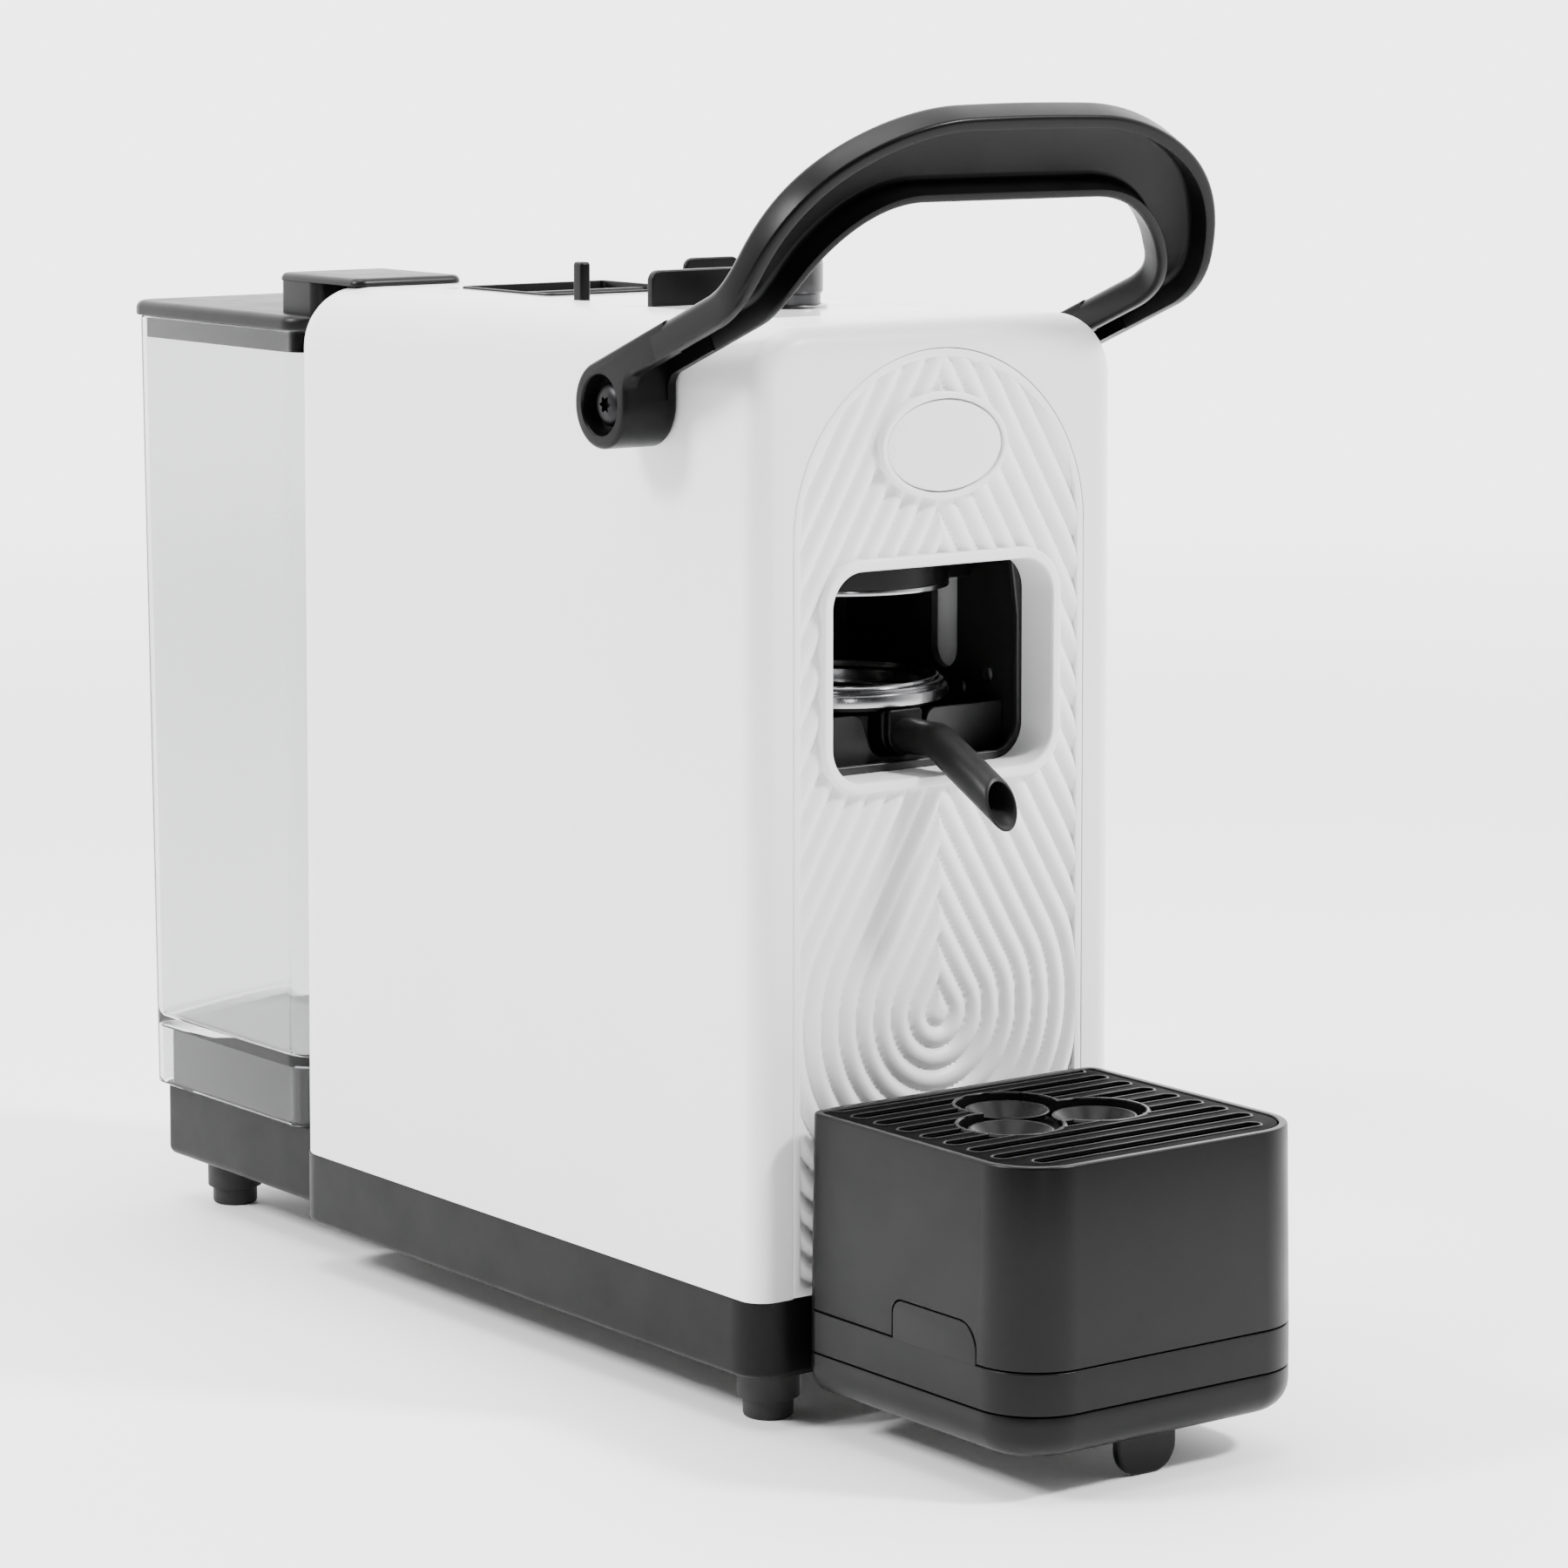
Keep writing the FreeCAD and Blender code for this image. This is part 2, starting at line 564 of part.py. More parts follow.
def back_plate():
    """The rear plate of the group, with the feed elbow's hole."""
    plate = box(-PLATE_INNER_X, PLATE_INNER_X, 92.2, 94.4, 150.0, 288.0)
    return plate.cut(cylinder(HOSE_R, (0, 90, BREW_HOSE_Z), (0, 96, BREW_HOSE_Z)))


def shaft_bushes():
    """Flanged plain bearings for the lever's shaft."""
    x0, x1 = PLATE_INNER_X, PLATE_INNER_X + PLATE_THICK
    bush = tube(8.0, SHAFT_R + 0.06, (x0 - 1.0, GROUP_Y, PIVOT_Z), (x1 + 1.0, GROUP_Y, PIVOT_Z))
    flange = tube(10.0, SHAFT_R + 0.06, (x1, GROUP_Y, PIVOT_Z), (x1 + 2.0, GROUP_Y, PIVOT_Z))
    return group(*mirrored(fuse(bush, flange)))


def holder_body():
    """The black pod holder: a bowl with a boss for the spout, on a round pedestal."""
    z_top = RING_TOP - RING_HEIGHT
    body = cylinder(HOLDER_LOW_R, (0, GROUP_Y, 176), (0, GROUP_Y, z_top))
    brim = cylinder(HOLDER_R, (0, GROUP_Y, z_top - 1.8), (0, GROUP_Y, z_top))
    pedestal = cylinder(20.0, (0, GROUP_Y, 170.5), (0, GROUP_Y, 176))
    boss = slab([(-5.8, z_top, 1.0), (-5.8, 177.4, 5.6), (5.8, 177.4, 5.6), (5.8, z_top, 1.0)],
                "XZ", 15.5, GROUP_Y - HOLDER_LOW_R + 3.0)
    bowl = cylinder(BOWL_R, (0, GROUP_Y, 187.0), (0, GROUP_Y, z_top + 1))
    drain = cylinder(4.0, (0, GROUP_Y, 181.0), (0, GROUP_Y, 188.0))
    duct = cylinder(SPOUT_BORE_R, (0, 14.0, SPOUT_Z), (0, GROUP_Y, SPOUT_Z))
    return fuse(body, brim, pedestal, boss).cut(group(bowl, drain, duct))


def holder_ring():
    """The stepped chrome ring that the pod's rim lies on."""
    z0 = RING_TOP - RING_HEIGHT
    lower = cylinder(RING_R, (0, GROUP_Y, z0), (0, GROUP_Y, z0 + 3.2))
    middle = cylinder(RING_R - 1.3, (0, GROUP_Y, z0 + 3.2), (0, GROUP_Y, z0 + 4.8))
    upper = cylinder(RING_R - 2.6, (0, GROUP_Y, z0 + 4.8), (0, GROUP_Y, RING_TOP))
    funnel = cone(BOWL_R, RING_R - 4.4, (0, GROUP_Y, z0 - 0.01), (0, GROUP_Y, RING_TOP + 0.01))
    return fuse(lower, middle, upper).cut(funnel)


def filter_screen(radius, z0, z1):
    """A perforated disc with a ring of round holes and a centre hole."""
    disc = cylinder(radius, (0, GROUP_Y, z0), (0, GROUP_Y, z1))
    holes = [cylinder(1.2, (0, GROUP_Y, z0 - 1), (0, GROUP_Y, z1 + 1))]
    for ring_r, count in ((7.0, 6), (14.0, 12)):
        for i in range(count):
            turn = 2 * math.pi * i / count
            x, y = ring_r * math.cos(turn), GROUP_Y + ring_r * math.sin(turn)
            holes.append(cylinder(1.2, (x, y, z0 - 1), (x, y, z1 + 1)))
    return disc.cut(group(*holes))


def spout():
    """The bent pouring tube, cut off at a slant; its tip hangs over the drip tower."""
    bend = 9.0
    first = V(0, 15.5, SPOUT_Z)
    knee = V(0, *SPOUT_KNEE)
    tip = V(0, *SPOUT_TIP)
    into = (first - knee).normalize()
    out = (tip - knee).normalize()
    half = into.getAngle(out) / 2
    run = bend / math.tan(half)
    middle = (into + out).normalize()
    start, end = knee + into * run, knee + out * run
    mid = knee + middle * (bend / math.sin(half) - bend)
    centre_line = Part.Wire([Part.LineSegment(first, start).toShape(),
                             Part.Arc(start, mid, end).toShape(),
                             Part.LineSegment(end, tip).toShape()])
    pipes = []
    for radius in (SPOUT_R, SPOUT_BORE_R):
        ring = Part.Wire([Part.Circle(first, V(0, 1, 0), radius).toShape()])
        pipes.append(centre_line.makePipeShell([ring], True, False))
    return pipes[0].cut(pipes[1])


# ---------------------------------------------------------------- moving piston
def piston_head():
    """The black upper block with the brew nozzle, guided by the cross pin."""
    z0 = PISTON_Z + 1.4
    head = slab(rect(-35.6, 35.6, 17.0, 80.0, 5.0), "XY", z0, 249.0)
    bore = cylinder(3.0, (-40, GROUP_Y, GUIDE_PIN_Z), (40, GROUP_Y, GUIDE_PIN_Z))
    feed = cylinder(3.0, (0, GROUP_Y, z0 - 1), (0, GROUP_Y, 233.0))
    inlet = cylinder(3.0, (0, GROUP_Y, 232.0), (0, 81.0, 232.0))
    return head.cut(group(bore, feed, inlet))


def piston_ring():
    """The chrome lip round the piston's face."""
    return tube(RING_R, 24.4, (0, GROUP_Y, PISTON_Z), (0, GROUP_Y, PISTON_Z + 1.4))


def piston_seal():
    """The silicone seal that presses on the pod's rim."""
    return tube(24.3, 22.7, (0, GROUP_Y, PISTON_Z + 0.2), (0, GROUP_Y, PISTON_Z + 1.4))


def guide_pin():
    """The cross pin, with a bush that runs in each plate's slot."""
    return cylinder(3.0, (-43.0, GROUP_Y, GUIDE_PIN_Z), (43.0, GROUP_Y, GUIDE_PIN_Z))


def guide_bushes():
    """Bushes on the cross pin's ends, in the slots."""
    bush = tube(SLOT_WIDTH / 2 - 0.06, 3.0, (PLATE_INNER_X - 1.6, GROUP_Y, GUIDE_PIN_Z),
                (42.6, GROUP_Y, GUIDE_PIN_Z))
    return group(*mirrored(bush))


def crank_pin_rest():
    """The crank pin's place with the lever raised."""
    turn = math.radians(CRANK_ANGLE)
    return GROUP_Y - CRANK_R * math.cos(turn), PIVOT_Z + CRANK_R * math.sin(turn)


def yoke_plates():
    """Two uprights on the piston, each with a level slot that the crank pin drives."""
    pin_y, pin_z = crank_pin_rest()
    nose = [(17.2, YOKE_Z0, 0), (30.0, YOKE_Z0, 0), (30.0, pin_z + 6.0, 3.0), (11.6, pin_z + 6.0, 3.0),
            (11.6, pin_z - 6.5, 3.0), (17.2, pin_z - 6.5, 0)]
    plate = slab(nose, "YZ", 19.0, 23.0)
    gap = CRANK_PIN_R + 0.35
    slot = slab(rect(pin_y - 7.0, pin_y + 4.6, pin_z - gap, pin_z + gap, gap - 0.01), "YZ", 18.0, 24.0)
    return group(*mirrored(plate.cut(slot)))


# ---------------------------------------------------------------- lever and shaft
def lever_frame():
    """Directions of the handle's bar: along its slope, and out of its back."""
    run = V(0, LEVER_TIP[0] - LEVER_BEND[0], LEVER_TIP[1] - LEVER_BEND[1])
    run.normalize()
    return run, V(0, run.z, -run.y)


def arm_rise():
    """The arms' angle to the level, rising towards the front."""
    return math.atan2(LEVER_BEND[1] - LEVER_HEEL[1], LEVER_HEEL[0] - LEVER_BEND[0])


def across_arm():
    """Direction (y, z) through the arms' thickness, out of their back."""
    return math.sin(arm_rise()), math.cos(arm_rise())


def lever_profile(front, back):
    """Side view of the arms, between two distances behind their front surface."""
    bend_y, bend_z = LEVER_BEND
    slope = lever_frame()[0]
    rise = arm_rise()
    arm = across_arm()
    bar = (slope.z, -slope.y)
    tip_y, tip_z = LEVER_TIP
    half = (math.atan2(slope.z, -slope.y) - rise) / 2
    middle = rise + half
    reach = 1.0 / math.cos(half)

    def knee(depth):
        return (bend_y + depth * reach * math.sin(middle), bend_z + depth * reach * math.cos(middle))

    def tip(depth):
        return tip_y + depth * bar[0], tip_z + depth * bar[1]

    def heel(depth, y):
        foot_y = bend_y + depth * arm[0]
        foot_z = bend_z + depth * arm[1]
        return y, foot_z - (y - foot_y) * math.tan(rise)

    return knee(front), knee(back), tip(front), tip(back), heel


def prism_across(corners, depth):
    """A prism through the handle, square to its bar: corners are (x, distance below the tip)."""
    slope, out = lever_frame()
    tip = V(0, LEVER_TIP[0], LEVER_TIP[1])
    wire = outline(corners, "XY", 0.0)
    face = Part.Face(wire)
    turn = FreeCAD.Rotation(V(1, 0, 0), slope, out * (-1), "XYZ")
    face.Placement = FreeCAD.Placement(tip + out * depth, turn)
    return face.extrude(out * (-2 * depth))


def loop_corners(half_w, top, radius):
    """Corners of the handle's outline, open far below."""
    return [(-half_w, -320.0, 0), (half_w, -320.0, 0), (half_w, top, radius), (-half_w, top, radius)]


def lever_handle():
    """The loop handle: a channel-section band from eye to eye over the front."""
    knee_f, knee_b, tip_f, tip_b, heel = lever_profile(0.0, LEVER_THICK)
    arm = across_arm()
    boss_front = GROUP_Y - LEVER_EYE_R
    eye_back = (GROUP_Y + LEVER_EYE_R * arm[0], PIVOT_Z + LEVER_EYE_R * arm[1])
    side = [(boss_front, PIVOT_Z, 0), (*heel(0.0, boss_front), 3.0), (*knee_f, LEVER_BEND_R),
            (*tip_f, 2.0), (*tip_b, 2.0), (*knee_b, LEVER_BEND_R - LEVER_THICK), (*eye_back, 0),
            (GROUP_Y, PIVOT_Z, 0)]
    band = slab(side, "YZ", -LEVER_HALF_W, LEVER_HALF_W)
    band = band.common(prism_across(loop_corners(LEVER_HALF_W, 0.0, LEVER_CORNER_R), 200.0))
    inner_x = LEVER_HALF_W - LEVER_ARM_W
    opening = prism_across(loop_corners(inner_x, -LEVER_BAR_W, LEVER_INNER_R), 200.0)
    band = band.cut(opening)
    knee_i, knee_g, tip_i, tip_g, heel_g = lever_profile(-2.0, LEVER_GROOVE)
    start = boss_front - 5.0
    groove_side = [(*heel_g(-2.0, start), 0), (*knee_i, LEVER_BEND_R + 2.0), (*tip_i, 0), (*tip_g, 0),
                   (*knee_g, LEVER_BEND_R - LEVER_GROOVE), (*heel_g(LEVER_GROOVE, start), 0)]
    groove = slab(groove_side, "YZ", -LEVER_HALF_W, LEVER_HALF_W)
    rim = LEVER_RIM
    outer_limit = loop_corners(LEVER_HALF_W - rim, -rim, LEVER_CORNER_R - rim)
    inner_limit = loop_corners(inner_x + rim, rim - LEVER_BAR_W, LEVER_INNER_R + rim)
    groove = groove.common(prism_across(outer_limit, 190.0))
    groove = groove.cut(prism_across(inner_limit, 190.0))
    eyes = [cylinder(LEVER_EYE_R, (s * inner_x, GROUP_Y, PIVOT_Z), (s * LEVER_HALF_W, GROUP_Y, PIVOT_Z))
            for s in (-1, 1)]
    body = fuse(band.cut(groove), *eyes)
    bores = ((SHAFT_R, inner_x - 1, 71.0), (2.7, 70.0, 81.0), (8.2, 75.5, 81.5))
    for s in (-1, 1):
        for radius, x0, x1 in bores:
            body = body.cut(cylinder(radius, (s * x0, GROUP_Y, PIVOT_Z), (s * x1, GROUP_Y, PIVOT_Z)))
    return body


def pivot_shaft():
    """The cross shaft that the handle turns, drilled for a screw at each end."""
    shaft = cylinder(SHAFT_R, (-71.0, GROUP_Y, PIVOT_Z), (71.0, GROUP_Y, PIVOT_Z))
    bores = [cylinder(2.4, (s * 58.0, GROUP_Y, PIVOT_Z), (s * 72.0, GROUP_Y, PIVOT_Z)) for s in (-1, 1)]
    return shaft.cut(group(*bores))


def pivot_screws():
    """The two button-head screws that hold the handle on its shaft."""
    solids = []
    for s in (-1, 1):
        solids.append(screw(6.1, 3.2, 2.4, 13.0, (s * 78.7, GROUP_Y, PIVOT_Z), (-s, 0, 0)))
    return group(*solids)


def crank_arms():
    """Two crank arms clamped on the shaft."""
    pin_y, pin_z = crank_pin_rest()
    solids = []
    for s in (-1, 1):
        x0, x1 = s * 26.0, s * 31.0
        hub = cylinder(9.0, (x0, GROUP_Y, PIVOT_Z), (x1, GROUP_Y, PIVOT_Z))
        eye = cylinder(6.0, (x0, pin_y, pin_z), (x1, pin_y, pin_z))
        length = V(0, pin_y - GROUP_Y, pin_z - PIVOT_Z)
        side = V(0, -length.z, length.y).normalize()
        hub_c, eye_c = V(x0, GROUP_Y, PIVOT_Z), V(x0, pin_y, pin_z)
        points = [hub_c + side * 7.0, eye_c + side * 5.0, eye_c - side * 5.0, hub_c - side * 7.0]
        web = Part.Face(Part.makePolygon(points + points[:1])).extrude(V(x1 - x0, 0, 0))
        arm = fuse(hub, eye, web)
        arm = arm.cut(cylinder(SHAFT_R, (-90, GROUP_Y, PIVOT_Z), (90, GROUP_Y, PIVOT_Z)))
        solids.append(arm.cut(cylinder(CRANK_PIN_R, (-90, pin_y, pin_z), (90, pin_y, pin_z))))
    return group(*solids)


def crank_pin():
    """The pin between the crank arms, through the yoke's slots."""
    pin_y, pin_z = crank_pin_rest()
    return cylinder(CRANK_PIN_R, (-31.0, pin_y, pin_z), (31.0, pin_y, pin_z))


# ---------------------------------------------------------------- works behind the group
def boiler_body():
    """The cast heating vessel's lower half."""
    body = cylinder(26.0, (0, BOILER_Y, 186.0), (0, BOILER_Y, 226.0))
    flange = cylinder(32.0, (0, BOILER_Y, 221.0), (0, BOILER_Y, 226.0))
    hollow = cylinder(22.0, (0, BOILER_Y, 190.0), (0, BOILER_Y, 227.0))
    inlet = cylinder(4.0, (0, BOILER_Y, 178.0), (0, BOILER_Y, 187.0))
    inlet_bore = cylinder(2.0, (0, BOILER_Y, 177.0), (0, BOILER_Y, 191.0))
    return fuse(body, flange, inlet).cut(group(hollow, inlet_bore))


def boiler_cover():
    """The heating vessel's domed upper half with its outlet stub."""
    flange = cylinder(32.0, (0, BOILER_Y, 226.0), (0, BOILER_Y, 231.0))
    dome = rounded(cylinder(26.0, (0, BOILER_Y, 231.0), (0, BOILER_Y, 250.0)), 6.0, at_height(250.0))
    outlet = cylinder(4.0, (0, BOILER_Y - 12.0, 249.0), (0, BOILER_Y - 12.0, 259.0))
    hollow = cylinder(21.0, (0, BOILER_Y, 226.0), (0, BOILER_Y, 246.0))
    bore = cylinder(2.0, (0, BOILER_Y - 12.0, 245.0), (0, BOILER_Y - 12.0, 260.0))
    return fuse(flange, dome, outlet).cut(group(hollow, bore))


def boiler_stand():
    """The bent sheet that carries the heating vessel on the deck."""
    ring = tube(33.0, 27.0, (0, BOILER_Y, 217.4), (0, BOILER_Y, 220.8))
    legs = [box(x - 1.5, x + 1.5, BOILER_Y - 10.0, BOILER_Y + 10.0, CASING_Z0 + 2.0, 219.0)
            for x in (-31.0, 31.0)]
    feet_pads = [box(x0, x0 + 14.0, BOILER_Y - 10.0, BOILER_Y + 10.0, CASING_Z0 + 2.0, CASING_Z0 + 4.0)
                 for x0 in (-45.0, 31.0)]
    return fuse(ring, *legs, *feet_pads)


def thermostats():
    """Two disc thermostats clipped on the vessel's dome."""
    solids = []
    for x in (-12.0, 12.0):
        cap = cylinder(7.0, (x, BOILER_Y + 6.0, 250.0), (x, BOILER_Y + 6.0, 256.0))
        tabs = [box(x + dx - 0.4, x + dx + 0.4, BOILER_Y + 3.0, BOILER_Y + 9.0, 256.0, 263.0)
                for dx in (-3.5, 3.5)]
        solids.append(fuse(cap, *tabs))
    return group(*solids)


def pump_body():
    """The vibrating pump's moulded body with its inlet and outlet stubs."""
    core = cylinder(PUMP_CORE_R, (0, PUMP_Y - 34.0, PUMP_Z), (0, PUMP_Y + 30.0, PUMP_Z))
    front_stub = cylinder(4.0, (0, PUMP_Y - 48.0, PUMP_Z), (0, PUMP_Y - 34.0, PUMP_Z))
    rear_stub = cylinder(4.0, (0, PUMP_Y + 30.0, PUMP_Z), (0, PUMP_Y + 42.0, PUMP_Z))
    bore = cylinder(2.0, (0, PUMP_Y - 49.0, PUMP_Z), (0, PUMP_Y + 43.0, PUMP_Z))
    return fuse(core, front_stub, rear_stub).cut(bore)


def pump_coil():
    """The steel yoke and winding round the pump."""
    block = slab(rect(-18.0, 18.0, PUMP_Z - 19.0, PUMP_Z + 19.0, 3.0), "XZ", PUMP_Y - 18.0, PUMP_Y + 18.0)
    return block.cut(cylinder(PUMP_CORE_R, (0, PUMP_Y - 40.0, PUMP_Z), (0, PUMP_Y + 40.0, PUMP_Z)))


def pump_mounts():
    """Two rubber saddles that hold the pump off the deck."""
    solids = []
    for y in (PUMP_Y - 28.0, PUMP_Y + 20.0):
        block = slab(rect(-14.0, 14.0, CASING_Z0 + 2.0, PUMP_Z + 6.0, 3.0), "XZ", y, y + 7.0)
        solids.append(block.cut(cylinder(PUMP_CORE_R, (0, y - 1.0, PUMP_Z), (0, y + 8.0, PUMP_Z))))
    return group(*solids)


def control_board():
    """The circuit board on the right-hand wall, with its relay, choke and capacitor."""
    board = box(53.0, 54.6, 120.0, 200.0, 120.0, 190.0)
    relay = box(38.5, 53.0, 128.0, 146.0, 130.0, 158.0)
    choke = cylinder(8.0, (40.0, 170.0, 140.0), (53.0, 170.0, 140.0))
    capacitor = box(42.0, 53.0, 182.0, 194.0, 150.0, 176.0)
    connector = box(46.0, 53.0, 150.0, 162.0, 172.0, 184.0)
    posts = [cylinder(3.0, (54.6, y, z), (CASING_HALF_W - CASING_WALL, y, z))
             for y in (125.0, 195.0) for z in (125.0, 185.0)]
    return fuse(board, relay, choke, capacitor, connector, *posts)


def hose(points):
    """A hose along straight runs joined by tangent arcs."""
    points = [V(*p) for p in points]
    edges = []
    here = points[0]
    for i in range(1, len(points) - 1):
        back = (points[i - 1] - points[i]).normalize()
        ahead = (points[i + 1] - points[i]).normalize()
        half = back.getAngle(ahead) / 2
        run = HOSE_BEND_R / math.tan(half)
        start, end = points[i] + back * run, points[i] + ahead * run
        middle = (back + ahead).normalize()
        mid = points[i] + middle * (HOSE_BEND_R / math.sin(half) - HOSE_BEND_R)
        edges.append(Part.LineSegment(here, start).toShape())
        edges.append(Part.Arc(start, mid, end).toShape())
        here = end
    edges.append(Part.LineSegment(here, points[-1]).toShape())
    line = Part.Wire(edges)
    way = points[1] - points[0]
    shells = []
    for r in (HOSE_R, HOSE_BORE_R):
        ring = Part.Wire([Part.Circle(points[0], way, r).toShape()])
        shells.append(line.makePipeShell([ring], True, False))
    return shells[0].cut(shells[1])


def pressure_hose():
    """From the pump's front stub up to the heating vessel's inlet."""
    return hose([(0, PUMP_Y - 48.0, PUMP_Z), (0, 104.0, PUMP_Z), (0, 104.0, 128.0),
                 (0, BOILER_Y, 150.0), (0, BOILER_Y, 178.0)])


def brew_hose():
    """From the heating vessel's outlet over into the group's rear plate."""
    return hose([(0, BOILER_Y - 12.0, 259.0), (0, BOILER_Y - 12.0, 272.0), (0, 106.0, 272.0),
                 (0, 106.0, BREW_HOSE_Z), (0, 90.0, BREW_HOSE_Z)])


# ---------------------------------------------------------------- water tank
def tank_block(inset, z0, z1):
    """The tank's slightly tapered form, drawn in by an inset, between two heights."""
    def ring(z):
        share = (z - TANK_SKIRT_Z) / (TANK_TOP - TANK_SKIRT_Z)
        half = TANK_FOOT_HALF_W + (TANK_HALF_W - TANK_FOOT_HALF_W) * share - inset
        y0 = TANK_FOOT_Y0 + (TANK_Y0 - TANK_FOOT_Y0) * share + inset
        y1 = TANK_FOOT_Y1 + (TANK_Y1 - TANK_FOOT_Y1) * share - inset
        return outline(rect(-half, half, y0, y1, TANK_R - inset), "XY", z)
    return Part.makeLoft([ring(z0), ring(z1)], True, True)


def water_tank():
    """The clear tank: a tall box with a raised floor and a skirt round the platform."""
    body = tank_block(0.0, TANK_SKIRT_Z, TANK_TOP)
    room = tank_block(TANK_WALL, TANK_FLOOR_Z + TANK_FLOOR, TANK_TOP + 1.0)
    skirt = tank_block(TANK_WALL, TANK_SKIRT_Z - 1.0, TANK_FLOOR_Z)
    hole = cylinder(6.0, (0, VALVE_Y, TANK_FLOOR_Z - 1), (0, VALVE_Y, TANK_FLOOR_Z + 4))
    return body.cut(room).cut(skirt).cut(hole)


def tank_lid():
    """The dark lid over the tank, with a band that locates it inside the tank's mouth."""
    plate = slab(rect(-LID_HALF_W, LID_HALF_W, LID_Y0, LID_Y1, 9.0), "XY", LID_Z0, LID_Z1)
    plate = rounded(plate, 2.5, at_height(LID_Z1))
    band = tank_block(TANK_WALL + 0.4, LID_Z0 - 7.0, LID_Z0 + 1.0)
    return fuse(plate, band.cut(tank_block(TANK_WALL + 2.4, LID_Z0 - 8.0, LID_Z0)))


def lid_bridge():
    """The raised cap on the lid that reaches over the casing's rear edge."""
    corners = rect(-50.0, -11.5, 218.0, 264.0, 4.0)
    block = slab(corners, "XY", CASING_Z1 + 0.2, 300.6)
    block = rounded(block, 1.8, at_height(300.6))
    rear = slab(rect(-50.0, -11.5, 242.0, 264.0, 4.0), "XY", LID_Z1, CASING_Z1 + 0.4)
    return fuse(block, rear)


def tank_valve():
    """The valve body in the tank's floor."""
    collar = cylinder(9.0, (0, VALVE_Y, TANK_FLOOR_Z + TANK_FLOOR), (0, VALVE_Y, TANK_FLOOR_Z + 5.0))
    stem = cylinder(5.9, (0, VALVE_Y, 53.6), (0, VALVE_Y, TANK_FLOOR_Z + TANK_FLOOR))
    bore = cylinder(3.2, (0, VALVE_Y, 53.0), (0, VALVE_Y, TANK_FLOOR_Z + 6.0))
    return fuse(collar, stem).cut(bore)


def tank_filter():
    """The strainer cap over the valve."""
    wall = tube(9.0, 7.6, (0, VALVE_Y, TANK_FLOOR_Z + 5.0), (0, VALVE_Y, TANK_FLOOR_Z + 18.0))
    top = cylinder(9.0, (0, VALVE_Y, TANK_FLOOR_Z + 18.0), (0, VALVE_Y, TANK_FLOOR_Z + 19.5))
    windows = []
    for i in range(4):
        cutter = box(-1.6, 1.6, 6.0, 10.0, TANK_FLOOR_Z + 7.0, TANK_FLOOR_Z + 16.0)
        cutter.rotate(V(0, 0, 0), V(0, 0, 1), 90.0 * i + 45.0)
        cutter.translate(V(0, VALVE_Y, 0))
        windows.append(cutter)
    return fuse(wall, top).cut(group(*windows))


def valve_socket():
    """The socket in the platform, with the post that opens the valve."""
    cup = tube(10.0, 6.8, (0, VALVE_Y, 53.2), (0, VALVE_Y, PLATFORM_Z - 0.2))
    floor = cylinder(10.0, (0, VALVE_Y, 50.8), (0, VALVE_Y, 53.2))
    post = cylinder(1.4, (0, VALVE_Y, 53.0), (0, VALVE_Y, 53.8))
    stub = cylinder(3.5, (0, VALVE_Y, 44.0), (0, VALVE_Y, 51.0))
    bore = cylinder(1.8, (0, VALVE_Y, 43.0), (0, VALVE_Y, 50.0))
    drain = cylinder(1.2, (3.2, VALVE_Y, 49.0), (3.2, VALVE_Y, 54.0))
    return fuse(cup, floor, post, stub).cut(group(bore, drain))


def suction_hose():
    """From the valve socket forwards through the base and up to the pump's rear stub."""
    return hose([(0, VALVE_Y, 44.0), (0, VALVE_Y, HOSE_Z), (0, HOSE_RISE_Y, HOSE_Z),
                 (0, HOSE_RISE_Y, PUMP_Z), (0, PUMP_Y + 42.0, PUMP_Z)])


# ---------------------------------------------------------------- drip tower
def tower_corners(inset):
    """The tower's outline: large front corners and small rear ones."""
    half = TOWER_HALF_W - inset
    front, rear = TOWER_FRONT_R - inset, max(TOWER_REAR_R - inset, 1.0)
    return [(-half, TOWER_Y0 + inset, front), (half, TOWER_Y0 + inset, front),
            (half, TOWER_Y1 - inset, rear), (-half, TOWER_Y1 - inset, rear)]


def tab_corners(grow):
    """The side tab's outline on the tower's flank, in (y, z)."""
    return [(-78.3 - grow, TOWER_SEAM_HIGH - 4.0, 0), (-43.5 + grow, TOWER_SEAM_HIGH - 4.0, 0),
            (-43.5 + grow, 45.3 + grow, 4.0), (-78.3 - grow, 45.3 + grow, 7.0)]


def drip_container():
    """The upper part of the tower, which catches the drips; drawn in slightly towards its rim."""
    z0 = TOWER_SEAM_HIGH + 0.1
    draft = 0.7
    lower = outline(tower_corners(0.0), "XY", z0)
    upper = outline(tower_corners(draft), "XY", TOWER_TOP)
    body = Part.makeLoft([lower, upper], True, True)
    room = slab(tower_corners(TOWER_WALL + 1.9), "XY", z0 + 3.0, TOWER_TOP - 8.0)
    wide = slab(tower_corners(TOWER_WALL + draft), "XY", TOWER_TOP - 8.0 + 1e-3, TOWER_TOP + 1.0)
    notches = [slab(tab_corners(0.3), "YZ", s * (TOWER_HALF_W - 2.2), s * (TOWER_HALF_W + 1.0))
               for s in (-1, 1)]
    body = body.cut(room).cut(wide)
    for notch in notches:
        body = body.cut(notch)
    return body


